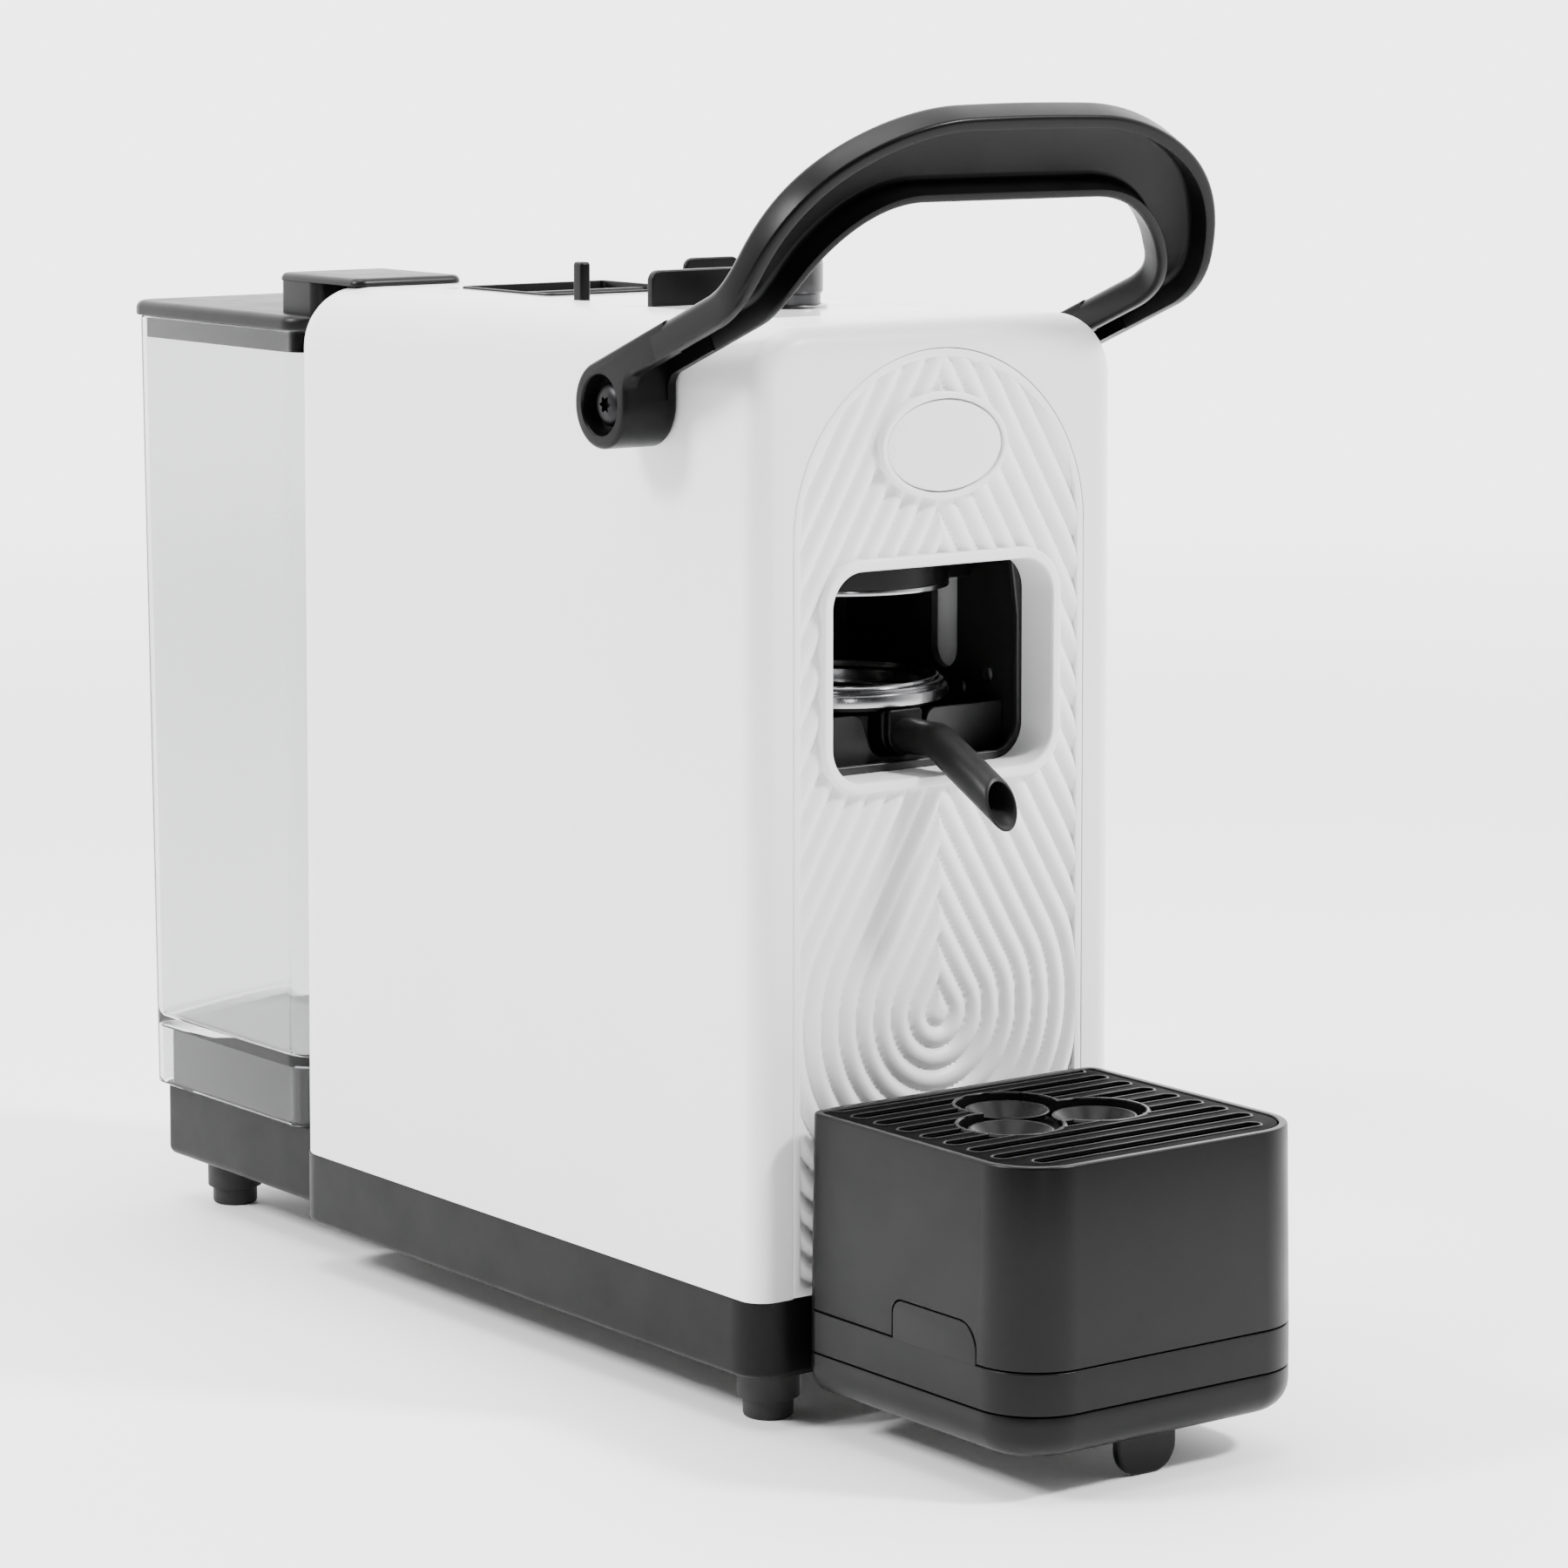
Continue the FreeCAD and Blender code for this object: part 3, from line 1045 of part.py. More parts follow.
def drip_grid():
    """The slotted grid, with three cup rings standing in a sunk pocket."""
    z0 = GRID_TOP - GRID_THICK
    inset = TOWER_WALL + 0.7 + 0.35
    plate = slab(tower_corners(inset), "XY", z0, GRID_TOP)
    ledge_z = TOWER_TOP - 8.0 + 0.02
    skirt = slab(tower_corners(inset), "XY", ledge_z, z0 + 0.5)
    skirt = skirt.cut(slab(tower_corners(inset + 2.0), "XY", ledge_z - 1.0, z0 + 1.0))
    plate = fuse(plate, skirt)
    first = (TOWER_Y0 + TOWER_Y1) / 2 + 3.5 + GRID_PITCH * (GRID_SLOTS - 1) / 2
    for i in range(GRID_SLOTS):
        y = first - i * GRID_PITCH
        half = 38.0 if i == GRID_SLOTS - 1 else 43.4
        r = GRID_SLOT_W / 2
        plate = plate.cut(slab(rect(-half, half, y - r, y + r, r - 0.01), "XY", z0 - 1.0, GRID_TOP + 1.0))
    floor_z = 80.6
    pocket_r = CUP_RING_R + 2.4
    walls, holes, cones, bores = [], [], [], []
    for x, y in CUP_RING_CENTRES:
        walls.append(cylinder(pocket_r + 1.4, (x, y, floor_z), (x, y, GRID_TOP)))
        holes.append(cylinder(pocket_r, (x, y, floor_z + 1.6), (x, y, GRID_TOP + 1)))
        cones.append(cone(8.0, CUP_RING_R, (x, y, floor_z), (x, y, 86.4)))
        bores.append(cone(6.6, CUP_RING_R - 1.2, (x, y, floor_z - 0.01), (x, y, 86.41)))
    pocket = fuse(*walls).cut(fuse(*holes))
    plate = plate.cut(fuse(*holes))
    grid = fuse(plate, pocket, *cones)
    return grid.cut(group(*bores))


def tower_band():
    """The tower's middle band: a tray with a snap tab on each flank and a tongue for the base."""
    tray = slab(tower_corners(0.0), "XY", TOWER_SEAM_LOW, TOWER_SEAM_HIGH)
    hollow = slab(tower_corners(TOWER_WALL), "XY", TOWER_SEAM_LOW + 3.0, TOWER_SEAM_HIGH + 1.0)
    tray = tray.cut(hollow)
    tabs = [slab(tab_corners(0.0), "YZ", s * (TOWER_HALF_W - 2.0), s * TOWER_HALF_W) for s in (-1, 1)]
    tongue = slab(rect(-17.0, 17.0, TOWER_Y1 - 4.0, 10.0, 3.0), "XY", 26.0, 29.0)
    return fuse(tray, tongue, *tabs)


def tower_foot_cap():
    """The tower's rounded bottom, with the half-round leg under its front."""
    cap = slab(tower_corners(0.0), "XY", TOWER_BOTTOM, TOWER_SEAM_LOW)
    cap = rounded(cap, TOWER_REAR_R - 0.5, at_height(TOWER_BOTTOM))
    hollow = slab(tower_corners(6.0), "XY", TOWER_BOTTOM + 3.0, TOWER_SEAM_LOW + 1.0)
    half, top = LEG_HALF_W, TOWER_BOTTOM + 1.0
    leg = slab([(-half, top, 0), (-half, 0.0, 7.0), (half, 0.0, 7.0), (half, top, 0)], "XZ", -88.0, -85.0)
    return fuse(cap.cut(hollow), leg)


# ---------------------------------------------------------------- save every node
def nodes():
    return {
        "casing_shell": casing(),
        "front_panel": front_panel(),
        "oval_badge": oval_badge(),
        "window_bezel": window_bezel(),
        "base_plinth": base_plinth(),
        "deck_plate": deck_plate(),
        "frame_screws": frame_screws(),
        "tank_base": tank_base(),
        "feet": feet(),
        "mains_inlet": mains_inlet(),
        "top_insert": top_insert(),
        "top_tray": top_tray(),
        "rack_front_plate": rack_plate(-30.8, 12.0, 92.0, 95.0, 10.2),
        "rack_rear_plate": rack_plate(9.9, 29.6, 133.0, 135.0, 10.6),
        "rack_fin": rack_fin(),
        "brew_button": brew_button(),
        "button_collar": button_collar(),
        "button_switch": button_switch(),
        "group_side_plates": side_plates(),
        "chamber_frame": chamber_frame(),
        "group_shelf": shelf(),
        "group_back_plate": back_plate(),
        "shaft_bushes": shaft_bushes(),
        "pod_holder": holder_body(),
        "holder_ring": holder_ring(),
        "holder_filter": filter_screen(22.4, 187.0, 187.8),
        "spout": spout(),
        "piston_head": piston_head(),
        "piston_ring": piston_ring(),
        "piston_seal": piston_seal(),
        "shower_screen": filter_screen(22.5, PISTON_Z + 0.5, PISTON_Z + 1.4),
        "guide_pin": guide_pin(),
        "guide_bushes": guide_bushes(),
        "yoke_plates": yoke_plates(),
        "lever_handle": lever_handle(),
        "pivot_shaft": pivot_shaft(),
        "pivot_screws": pivot_screws(),
        "crank_arms": crank_arms(),
        "crank_pin": crank_pin(),
        "boiler_body": boiler_body(),
        "boiler_cover": boiler_cover(),
        "boiler_stand": boiler_stand(),
        "thermostats": thermostats(),
        "pump_body": pump_body(),
        "pump_coil": pump_coil(),
        "pump_mounts": pump_mounts(),
        "control_board": control_board(),
        "pressure_hose": pressure_hose(),
        "brew_hose": brew_hose(),
        "suction_hose": suction_hose(),
        "water_tank": water_tank(),
        "tank_lid": tank_lid(),
        "lid_bridge": lid_bridge(),
        "tank_valve": tank_valve(),
        "tank_filter": tank_filter(),
        "valve_socket": valve_socket(),
        "drip_container": drip_container(),
        "drip_grid": drip_grid(),
        "tower_band": tower_band(),
        "tower_foot_cap": tower_foot_cap(),
    }


def main():
    os.makedirs("parts", exist_ok=True)
    for name, shape in nodes().items():
        shape.translate(V(0, FRAME_SHIFT, 0))
        shape.exportStep("parts/%s.step" % name)
        print(name, len(shape.Solids), round(shape.Volume, 1), shape.isValid())


main()
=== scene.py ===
"""Looks of the pod coffee machine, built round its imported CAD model.

Every piece is drawn in millimetres in the machine's own layout: x to the right, y backwards
from the casing's front face, z up from the table. add() brings it into the row frame.
"""

import json
from math import cos, degrees, hypot, pi, radians, sin, sqrt, tan

import bmesh
import bpy
from mathutils import Matrix, Vector


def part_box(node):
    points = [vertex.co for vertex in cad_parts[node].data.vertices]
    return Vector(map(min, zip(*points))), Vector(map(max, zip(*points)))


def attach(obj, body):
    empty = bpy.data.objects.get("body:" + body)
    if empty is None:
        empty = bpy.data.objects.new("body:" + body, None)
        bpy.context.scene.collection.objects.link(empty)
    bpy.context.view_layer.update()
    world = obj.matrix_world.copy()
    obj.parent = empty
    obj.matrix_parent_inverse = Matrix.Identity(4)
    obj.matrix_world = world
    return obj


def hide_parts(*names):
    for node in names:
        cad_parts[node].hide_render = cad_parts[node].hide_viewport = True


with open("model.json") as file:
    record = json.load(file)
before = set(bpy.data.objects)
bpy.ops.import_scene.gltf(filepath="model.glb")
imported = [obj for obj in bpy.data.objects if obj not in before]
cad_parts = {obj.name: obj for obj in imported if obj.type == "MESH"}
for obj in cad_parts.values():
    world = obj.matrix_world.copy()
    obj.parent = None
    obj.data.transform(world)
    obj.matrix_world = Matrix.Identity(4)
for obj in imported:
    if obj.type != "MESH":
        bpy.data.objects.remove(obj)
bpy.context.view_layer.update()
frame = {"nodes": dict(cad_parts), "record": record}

MM = 0.001
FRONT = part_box("casing_shell")[0][1]
TO_FRAME = Matrix.Translation((0.0, FRONT, 0.0)) @ Matrix.Diagonal((MM, MM, MM, 1.0))


def side(node, corner, axis):
    """One coordinate of a CAD node's box, in the layout's millimetres."""
    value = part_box(node)[corner][axis]
    if axis == 1:
        value -= FRONT
    return value / MM


LOW, HIGH = 0, 1
X, Y, Z = 0, 1, 2
SAME_POINT = 1e-4
QUARTER = [pi / 12 * k for k in range(7)]

# ---- sizes
CASING_W = side("casing_shell", HIGH, X)
CASING_Y1 = side("casing_shell", HIGH, Y)
CASING_Z0 = side("casing_shell", LOW, Z)
CASING_Z1 = side("casing_shell", HIGH, Z)
CASING_TOP_R = 18.0
CASING_FRONT_R = 7.0
CASING_REAR_R = 13.0
HOOD_STEPS = 12
BASE_Z0 = side("base_plinth", LOW, Z)
PLAN_R = 12.0
WALL = 2.5

PANEL_W = 50.0
PANEL_TOP = 290.4
PANEL_GAP = 0.25
PANEL_BORDER = 2.3
PANEL_BACK = 2.6
PANEL_OVERLAP = 0.4
WINDOW_HALF, WINDOW_Z0, WINDOW_Z1, WINDOW_R = 37.8, 174.3, 231.4, 10.0
WINDOW_DEPTH = 12.0
WINDOW_COVER = 1.0
BADGE_HALF_W, BADGE_HALF_H, BADGE_Z = 21.8, 14.6, 264.1
DROP_Z = 108.0
RIPPLE_PITCH = 5.95
RIPPLE_START = 3.9
RIPPLE_DEPTH = 1.9
RIPPLE_SHARPNESS = 0.8
RIPPLE_SUNK = 0.05
CHEVRON = radians(30.0)
FIELD_COLUMNS = 180
FIELD_ROWS = 420

GROUP_Y = 46.7
PIVOT_Z = 275.8
SHAFT_HOLE_R = 6.5
PLATE_X = (38.0, 40.2)
PLATE_Y = (14.6, 96.0)
PLATE_TOP = 290.0
PLATE_HOLES = ((27.3, 195.5), (39.1, 190.7))
PLATE_HOLE_R = 2.25
BEARING_R = 8.0
LINING_X = 41.0
LINING_T = 1.8
LINING_Y = (20.0, 78.0)
LINING_Z = (186.0, 262.0)
SLOT_HALF = 5.8
SLOT_Z = (195.5, 247.0)
SHEET_X = 44.0
SHEET_Z = (166.0, 244.0)
SHEET_T = 2.0
LOW_WALL_X = 37.6
LOW_WALL_Y = (20.5, 22.5)
LOW_WALL_Z = (168.0, 188.8)
PISTON_R = 31.2
PISTON_Z = (223.2, 249.0)
SPOUT_R = 5.2
SPOUT_BORE = 4.2
SPOUT_Z = 183.0
SPOUT_KNEE = (1.0, 183.0)
SPOUT_TIP = (-26.6, 168.9)
SPOUT_CUT = radians(20.0)
SPOUT_BEND = 2.2
SPOUT_STEPS = 32

LEVER_TIP = (-41.3, 352.5)
LEVER_SLOPE = radians(62.0)
LEVER_STRAIGHT = -44.2
LEVER_BEND_R = 31.0
LEVER_KNEE_END = -66.1
LEVER_ARM_SLOPE = LEVER_SLOPE - (LEVER_STRAIGHT - LEVER_KNEE_END) / LEVER_BEND_R
LEVER_W = 80.5
LEVER_ARM = 17.5
LEVER_BAR = 24.2
LEVER_T = 9.0
LEVER_GROOVE = 7.0
LEVER_EDGE = 2.6
LEVER_LIP = 1.3
LEVER_THICKER = 0.8
THICKER_RUN = 32.0
ARM_STEPS = 31
CORNER_STEPS = 36
BAR_STEPS = 12
LOOP_R = 58.5
LOOP_INNER_R = 34.0
LOOP_FLARE = 2.0
LOOP_PINCH = 1.2
LOOP_CROWN = 1.5
CROWN_HALF = 60.0
LEVER_EYE = 12.0
RIM_OUT = 3.8
RIM_IN = 2.9
HEEL_FILLET = 5.0
BORE_R = 8.2
SOCKET_R = 1.95
SOCKET_LOBE = 0.42
ROOT_END = -86.0
BAND_START = -93.0

INSERT_W = 31.0
INSERT_Y = (34.0, 201.5)
INSERT_GAP = 0.2
TRAY_W = 26.5
TRAY_Y = (150.5, 199.0)
TRAY_BAR_Y = (175.0, 178.0)
BUTTON_Y = 70.0
BUTTON_R = 10.0
BUTTON_TRAVEL = 3.0
COLLAR_T = 1.0

REAR_W = 50.0
REAR_Y1 = 337.0
REAR_TOP = 38.2
PLATFORM_Y = (251.0, 335.0)
PLATFORM_Z = 57.0
VALVE_Y = 293.0
VALVE_R = 10.2
INLET_W = 13.5
INLET_Z = (16.4, 36.2)
INLET_GAP = 0.2
FEET = ((46.0, 17.0), (-46.0, 17.0), (35.0, 319.0), (-35.0, 319.0))
FOOT_TOP = 8.6
FOOT_TIP = 7.0
FOOT_STEP = 5.5
TANK_W = 55.5
TANK_Y = (243.5, 343.5)
TANK_FOOT_W = 54.0
TANK_FOOT_Y = (247.0, 339.5)
TANK_R = 8.0
TANK_WALL = 2.2
TANK_TOP = 283.6
TANK_SKIRT_Z = 38.6
FLOOR_Z = 57.2
LID_W = 57.0
LID_Y = (241.5, 344.5)
LID_Z = (283.9, 288.5)
BRIDGE_X = (-50.0, -11.5)
BRIDGE_Y = (218.0, 264.0)
BRIDGE_TOP = 300.6

TOWER_W = 50.2
TOWER_Y = (-98.0, -5.0)
TOWER_FRONT_R = 18.0
TOWER_REAR_R = 5.0
TOWER_BOTTOM = 11.5
TOWER_TOP = 88.3
TOWER_WALL = 2.4
TOWER_DRAFT = 0.7
SEAM_LOW = 23.5
SEAM_HIGH = 35.0
SEAM_GAP = 0.35
TAB_Y = (-78.3, -43.5)
TAB_TOP = 45.3
LEG_W = 9.9
LEG_Y = (-88.0, -85.0)
GRID_TOP = 88.0
GRID_T = 3.5
GRID_SLOTS = 9
GRID_PITCH = 9.9
GRID_SLOT = 4.6
GRID_LONG = 43.4
GRID_SHORT = 38.0
GRID_LIP = 0.75
GRID_FLOOR = 80.6
CUP_R = 11.4
CUP_TOP = 86.4
CUPS = ((0.0, -29.0), (-14.5, -48.5), (14.5, -48.5))


# ---- meshes
def rounded(corners, step_deg=6.0):
    """Points round an outline of (u, v, radius) corners."""
    points = []
    count = len(corners)
    for i, (u, v, radius) in enumerate(corners):
        here = Vector((u, v))
        back = (Vector(corners[i - 1][:2]) - here).normalized()
        ahead = (Vector(corners[(i + 1) % count][:2]) - here).normalized()
        turn = pi - back.angle(ahead)
        if radius <= 0.0 or turn < 1e-4:
            points.append(here)
            continue
        run = radius * tan(turn / 2)
        start, end = here + back * run, here + ahead * run
        middle = (back + ahead).normalized()
        centre = here + middle * (radius / cos(turn / 2))
        steps = max(2, round(degrees(turn) / step_deg))
        first, last = start - centre, end - centre
        for k in range(steps + 1):
            share = k / steps
            a = sin((1 - share) * turn) / sin(turn)
            b = sin(share * turn) / sin(turn)
            points.append(centre + first * a + last * b)
    return points


def rect(u0, u1, v0, v1, radius=0.0):
    """Corners of a rectangle."""
    return [(u0, v0, radius), (u1, v0, radius), (u1, v1, radius), (u0, v1, radius)]


def mirrored(corners):
    """An outline of both sides of x = 0 from its right half, which runs upwards."""
    left = [(-u, v, radius) for u, v, radius in reversed(corners)]
    return left[-1:] + corners + left[:-1]


def place(u, v, plane, at):
    """A point of a drawing plane in space."""
    if plane == "XY":
        return Vector((u, v, at))
    if plane == "XZ":
        return Vector((u, at, v))
    return Vector((at, u, v))


def turns(steps):
    """Angles of a full turn in equal steps."""
    return [2 * pi * k / steps for k in range(steps)]


def loft(rings, closed=False):
    """A skin over rings of equal point counts. Open lofts get end caps."""
    bm = bmesh.new()
    rows = [[bm.verts.new(p) for p in ring] for ring in rings]
    count = len(rows[0])
    pairs = list(zip(rows, rows[1:]))
    if closed:
        pairs.append((rows[-1], rows[0]))
    for lower, upper in pairs:
        for i in range(count):
            j = (i + 1) % count
            bm.faces.new((lower[i], lower[j], upper[j], upper[i]))
    if not closed:
        bm.faces.new(list(reversed(rows[0])))
        bm.faces.new(rows[-1])
    bmesh.ops.recalc_face_normals(bm, faces=bm.faces)
    return bm


def prism(corners, plane, start, end, step_deg=6.0):
    """A rounded outline carried from start to end along the plane's normal."""
    flat = rounded(corners, step_deg)
    return loft([[place(p.x, p.y, plane, at) for p in flat] for at in (start, end)])


def block(x0, x1, y0, y1, z0, z1, radius=0.0):
    """A box with rounded upright edges."""
    return prism(rect(x0, x1, y0, y1, radius), "XY", z0, z1)


def lathe(profile, centre, axis="Z", steps=96):
    """Turns (radius, height) points about an axis through centre. Heights are absolute."""
    closed = profile[0][0] > 0.0
    bm = bmesh.new()
    cx, cy, cz = centre
    rows = []
    for radius, height in profile:
        row = []
        for t in turns(steps) if radius > 0.0 else [0.0]:
            u, v = radius * cos(t), radius * sin(t)
            if axis == "Z":
                p = (cx + u, cy + v, height)
            elif axis == "Y":
                p = (cx + u, height, cz + v)
            else:
                p = (height, cy + u, cz + v)
            row.append(bm.verts.new(p))
        rows.append(row)
    pairs = list(zip(rows, rows[1:]))
    if closed:
        pairs.append((rows[-1], rows[0]))
    for lower, upper in pairs:
        for k in range(steps):
            m = (k + 1) % steps
            if len(lower) == 1 and len(upper) == 1:
                continue
            if len(lower) == 1:
                bm.faces.new((lower[0], upper[m], upper[k]))
            elif len(upper) == 1:
                bm.faces.new((lower[k], lower[m], upper[0]))
            else:
                bm.faces.new((lower[k], lower[m], upper[m], upper[k]))
    bmesh.ops.recalc_face_normals(bm, faces=bm.faces)
    return bm


def drum(radius, centre, start, end, axis="Z", edge=0.0, steps=96):
    """A round bar with rounded rims."""
    if edge <= 0.0:
        return lathe([(0, start), (radius, start), (radius, end), (0, end)], centre, axis, steps)
    profile = [(0, start)]
    for low, sign in ((start, 1), (end, -1)):
        arc = []
        for k in range(5):
            t = pi / 2 * k / 4
            arc.append((radius - edge + edge * sin(t), low + sign * edge * (1 - cos(t))))
        profile += arc if sign > 0 else list(reversed(arc))
    profile.append((0, end))
    return lathe(profile, centre, axis, steps)


def to_data(name, bm):
    """Mesh data made from a bmesh, which is freed."""
    data = bpy.data.meshes.new(name)
    bm.to_mesh(data)
    bm.free()
    return data


def put(name, data):
    """A new object in the scene."""
    obj = bpy.data.objects.new(name, data)
    bpy.context.scene.collection.objects.link(obj)
    return obj


def join(*meshes):
    """Several bmeshes as one."""
    result = bmesh.new()
    for bm in meshes:
        data = to_data("part", bm)
        result.from_mesh(data)
        bpy.data.meshes.remove(data)
    return result


def carve(bm, *cutters):
    """The bmesh after every cutter is taken away from it."""
    body = put("work", to_data("work", bm))
    tools = [put("work", to_data("work", cutter)) for cutter in cutters]
    for tool in tools:
        step = body.modifiers.new("carve", "BOOLEAN")
        step.object = tool
        step.operation = "DIFFERENCE"
        step.solver = "EXACT"
    bpy.context.view_layer.update()
    graph = bpy.context.evaluated_depsgraph_get()
    data = bpy.data.meshes.new_from_object(body.evaluated_get(graph))
    result = bmesh.new()
    result.from_mesh(data)
    bpy.data.meshes.remove(data)
    for obj in [body] + tools:
        mesh = obj.data
        bpy.data.objects.remove(obj)
        bpy.data.meshes.remove(mesh)
    return result


def add(name, bm, slot, replaces=(), body="machine_frame", look=None, bevel=0.0, segments=2, angle=32.0):
    """Puts a finished piece into the scene, riding on a body, with its slot's look or its own."""
    bmesh.ops.remove_doubles(bm, verts=bm.verts, dist=SAME_POINT)
    data = to_data(name, bm)
    data.transform(TO_FRAME)
    data.shade_smooth()
    data.set_sharp_from_angle(angle=radians(angle))
    data.materials.append(look or SLOT_LOOKS[slot])
    obj = put(name, data)
    if bevel > 0.0:
        edge = obj.modifiers.new("edge", "BEVEL")
        edge.width = bevel * MM
        edge.segments = segments
        edge.limit_method = "ANGLE"
        edge.angle_limit = radians(angle)
        edge.harden_normals = True
        edge.use_clamp_overlap = True
    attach(obj, body)
    if replaces:
        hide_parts(*replaces)
    return obj


def inset(corners, by):
    """The outline drawn in by a distance; its corners run anticlockwise."""
    result = []
    count = len(corners)
    for i, (u, v, radius) in enumerate(corners):
        here = Vector((u, v))
        before = (here - Vector(corners[i - 1][:2])).normalized()
        after = (Vector(corners[(i + 1) % count][:2]) - here).normalized()
        left_a, left_b = Vector((-before.y, before.x)), Vector((-after.y, after.x))
        step = (left_a + left_b) * (by / (1.0 + left_a.dot(left_b)))
        turning_in = before.x * after.y - before.y * after.x > 0
        new_radius = radius - by if turning_in else radius + by
        result.append((u + step.x, v + step.y, max(0.02, new_radius) if radius > 0 else 0.0))
    return result


def stack(corners, plane, levels, step_deg=6.0, closed=False):
    """A skin through copies of an outline: levels are (inset, distance along the normal)."""
    rings = []
    for by, at in levels:
        flat = rounded(inset(corners, by), step_deg)
        rings.append([place(p.x, p.y, plane, at) for p in flat])
    return loft(rings, closed)


def rim(by, at, radius, way):
    """Levels of a rounded rim that starts on the flat face at `at` and leads along `way`."""
    return [(by + radius * (1 - sin(t)), at + way * radius * (1 - cos(t))) for t in QUARTER]


def soft(corners, plane, start, end, r_start=0.0, r_end=0.0, draft=0.0, step_deg=6.0):
    """A prism whose two rims are rounded; draft draws the end rim in."""
    first = rim(0.0, start, r_start, 1) if r_start > 0 else [(0.0, start)]
    last = rim(draft, end, r_end, -1) if r_end > 0 else [(draft, end)]
    return stack(corners, plane, first + list(reversed(last)), step_deg)


def tube_along(points, radii, steps=32):
    """A round skin swept in the x = 0 plane: points are (y, z), one radius for each."""
    rings = []
    for i, (y, z) in enumerate(points):
        y0, z0 = points[max(i - 1, 0)]
        y1, z1 = points[min(i + 1, len(points) - 1)]
        way = Vector((0, y1 - y0, z1 - z0)).normalized()
        up = Vector((1, 0, 0)).cross(way)
        here = Vector((0, y, z))
        rings.append([here + (Vector((1, 0, 0)) * cos(t) + up * sin(t)) * radii[i]
                      for t in turns(steps)])
    return rings


# ---- materials
def shader(name):
    """A fresh material with its Principled node and the node tools."""
    material = bpy.data.materials.new(name)
    material.use_nodes = True
    nodes, links = material.node_tree.nodes, material.node_tree.links
    return material, nodes, links, nodes["Principled BSDF"]


def noise(nodes, links, scale, detail=3.0, rough=0.5, stretch=(1, 1, 1)):
    """Noise in the object's own coordinates, which are metres."""
    place_node = nodes.new("ShaderNodeTexCoord")
    mapping = nodes.new("ShaderNodeMapping")
    mapping.inputs["Scale"].default_value = stretch
    texture = nodes.new("ShaderNodeTexNoise")
    texture.inputs["Scale"].default_value = scale
    texture.inputs["Detail"].default_value = detail
    texture.inputs["Roughness"].default_value = rough
    links.new(place_node.outputs["Object"], mapping.inputs["Vector"])
    links.new(mapping.outputs["Vector"], texture.inputs["Vector"])
    return texture.outputs["Fac"]


def remap(nodes, links, source, before, after, kind="LINEAR"):
    """Maps one range of values to another."""
    node = nodes.new("ShaderNodeMapRange")
    node.interpolation_type = kind
    node.inputs["From Min"].default_value, node.inputs["From Max"].default_value = before
    node.inputs["To Min"].default_value, node.inputs["To Max"].default_value = after
    links.new(source, node.inputs["Value"])
    return node.outputs["Result"]


def spread(nodes, links, source, low, high):
    """Spreads a noise, which lies mostly between 0.3 and 0.7, over a low to high range."""
    return remap(nodes, links, source, (0.3, 0.7), (low, high))


def tint(nodes, links, source, dark, light):
    """A colour that drifts between two close shades."""
    node = nodes.new("ShaderNodeValToRGB")
    node.color_ramp.elements[0].position = 0.35
    node.color_ramp.elements[1].position = 0.65
    node.color_ramp.elements[0].color = (*dark, 1)
    node.color_ramp.elements[1].color = (*light, 1)
    links.new(source, node.inputs["Fac"])
    return node.outputs["Color"]


def grain(nodes, links, bsdf, source, strength, distance):
    """Bump from a fine texture."""
    node = nodes.new("ShaderNodeBump")
    node.inputs["Strength"].default_value = strength
    node.inputs["Distance"].default_value = distance
    links.new(source, node.inputs["Height"])
    links.new(node.outputs["Normal"], bsdf.inputs["Normal"])


def plastic(name, colour, rough, grain_scale=2500.0, grain_strength=0.15, spread_by=0.05, drift=0.03,
            coat=0.0, specular=0.5):
    """Moulded plastic: fine spark-eroded grain, drifting roughness and shade."""
    material, nodes, links, bsdf = shader(name)
    cloud = noise(nodes, links, 22.0, 4.0)
    dark = [c * (1 - drift) for c in colour]
    light = [min(1.0, c * (1 + drift)) for c in colour]
    links.new(tint(nodes, links, cloud, dark, light), bsdf.inputs["Base Color"])
    smear = noise(nodes, links, 60.0, 5.0, 0.6)
    links.new(spread(nodes, links, smear, rough - spread_by, rough + spread_by), bsdf.inputs["Roughness"])
    grain(nodes, links, bsdf, noise(nodes, links, grain_scale, 2.0), grain_strength, 0.00005)
    bsdf.inputs["Coat Weight"].default_value = coat
    bsdf.inputs["Coat Roughness"].default_value = 0.15
    bsdf.inputs["Specular IOR Level"].default_value = specular
    return material


def black(name, shade, rough, specular, grain_scale=2400.0, grain_strength=0.1, spread_by=0.05, drift=0.12,
          blue=1.0):
    """Plastic of one near-black shade; what it mirrors of the studio gives it its tone."""
    return plastic(name, (shade, shade, shade * blue), rough, grain_scale, grain_strength, spread_by, drift,
                   specular=specular)


def metal(name, colour, rough, stretch=(1, 1, 1), scale=300.0, strength=0.1, spread_by=0.05):
    """Metal with fine marks along one direction."""
    material, nodes, links, bsdf = shader(name)
    bsdf.inputs["Metallic"].default_value = 1.0
    marks = noise(nodes, links, scale, 4.0, 0.6, stretch)
    links.new(tint(nodes, links, marks, [c * 0.93 for c in colour], colour), bsdf.inputs["Base Color"])
    links.new(spread(nodes, links, marks, max(0.02, rough - spread_by), rough + spread_by),
              bsdf.inputs["Roughness"])
    grain(nodes, links, bsdf, marks, strength, 0.00002)
    return material


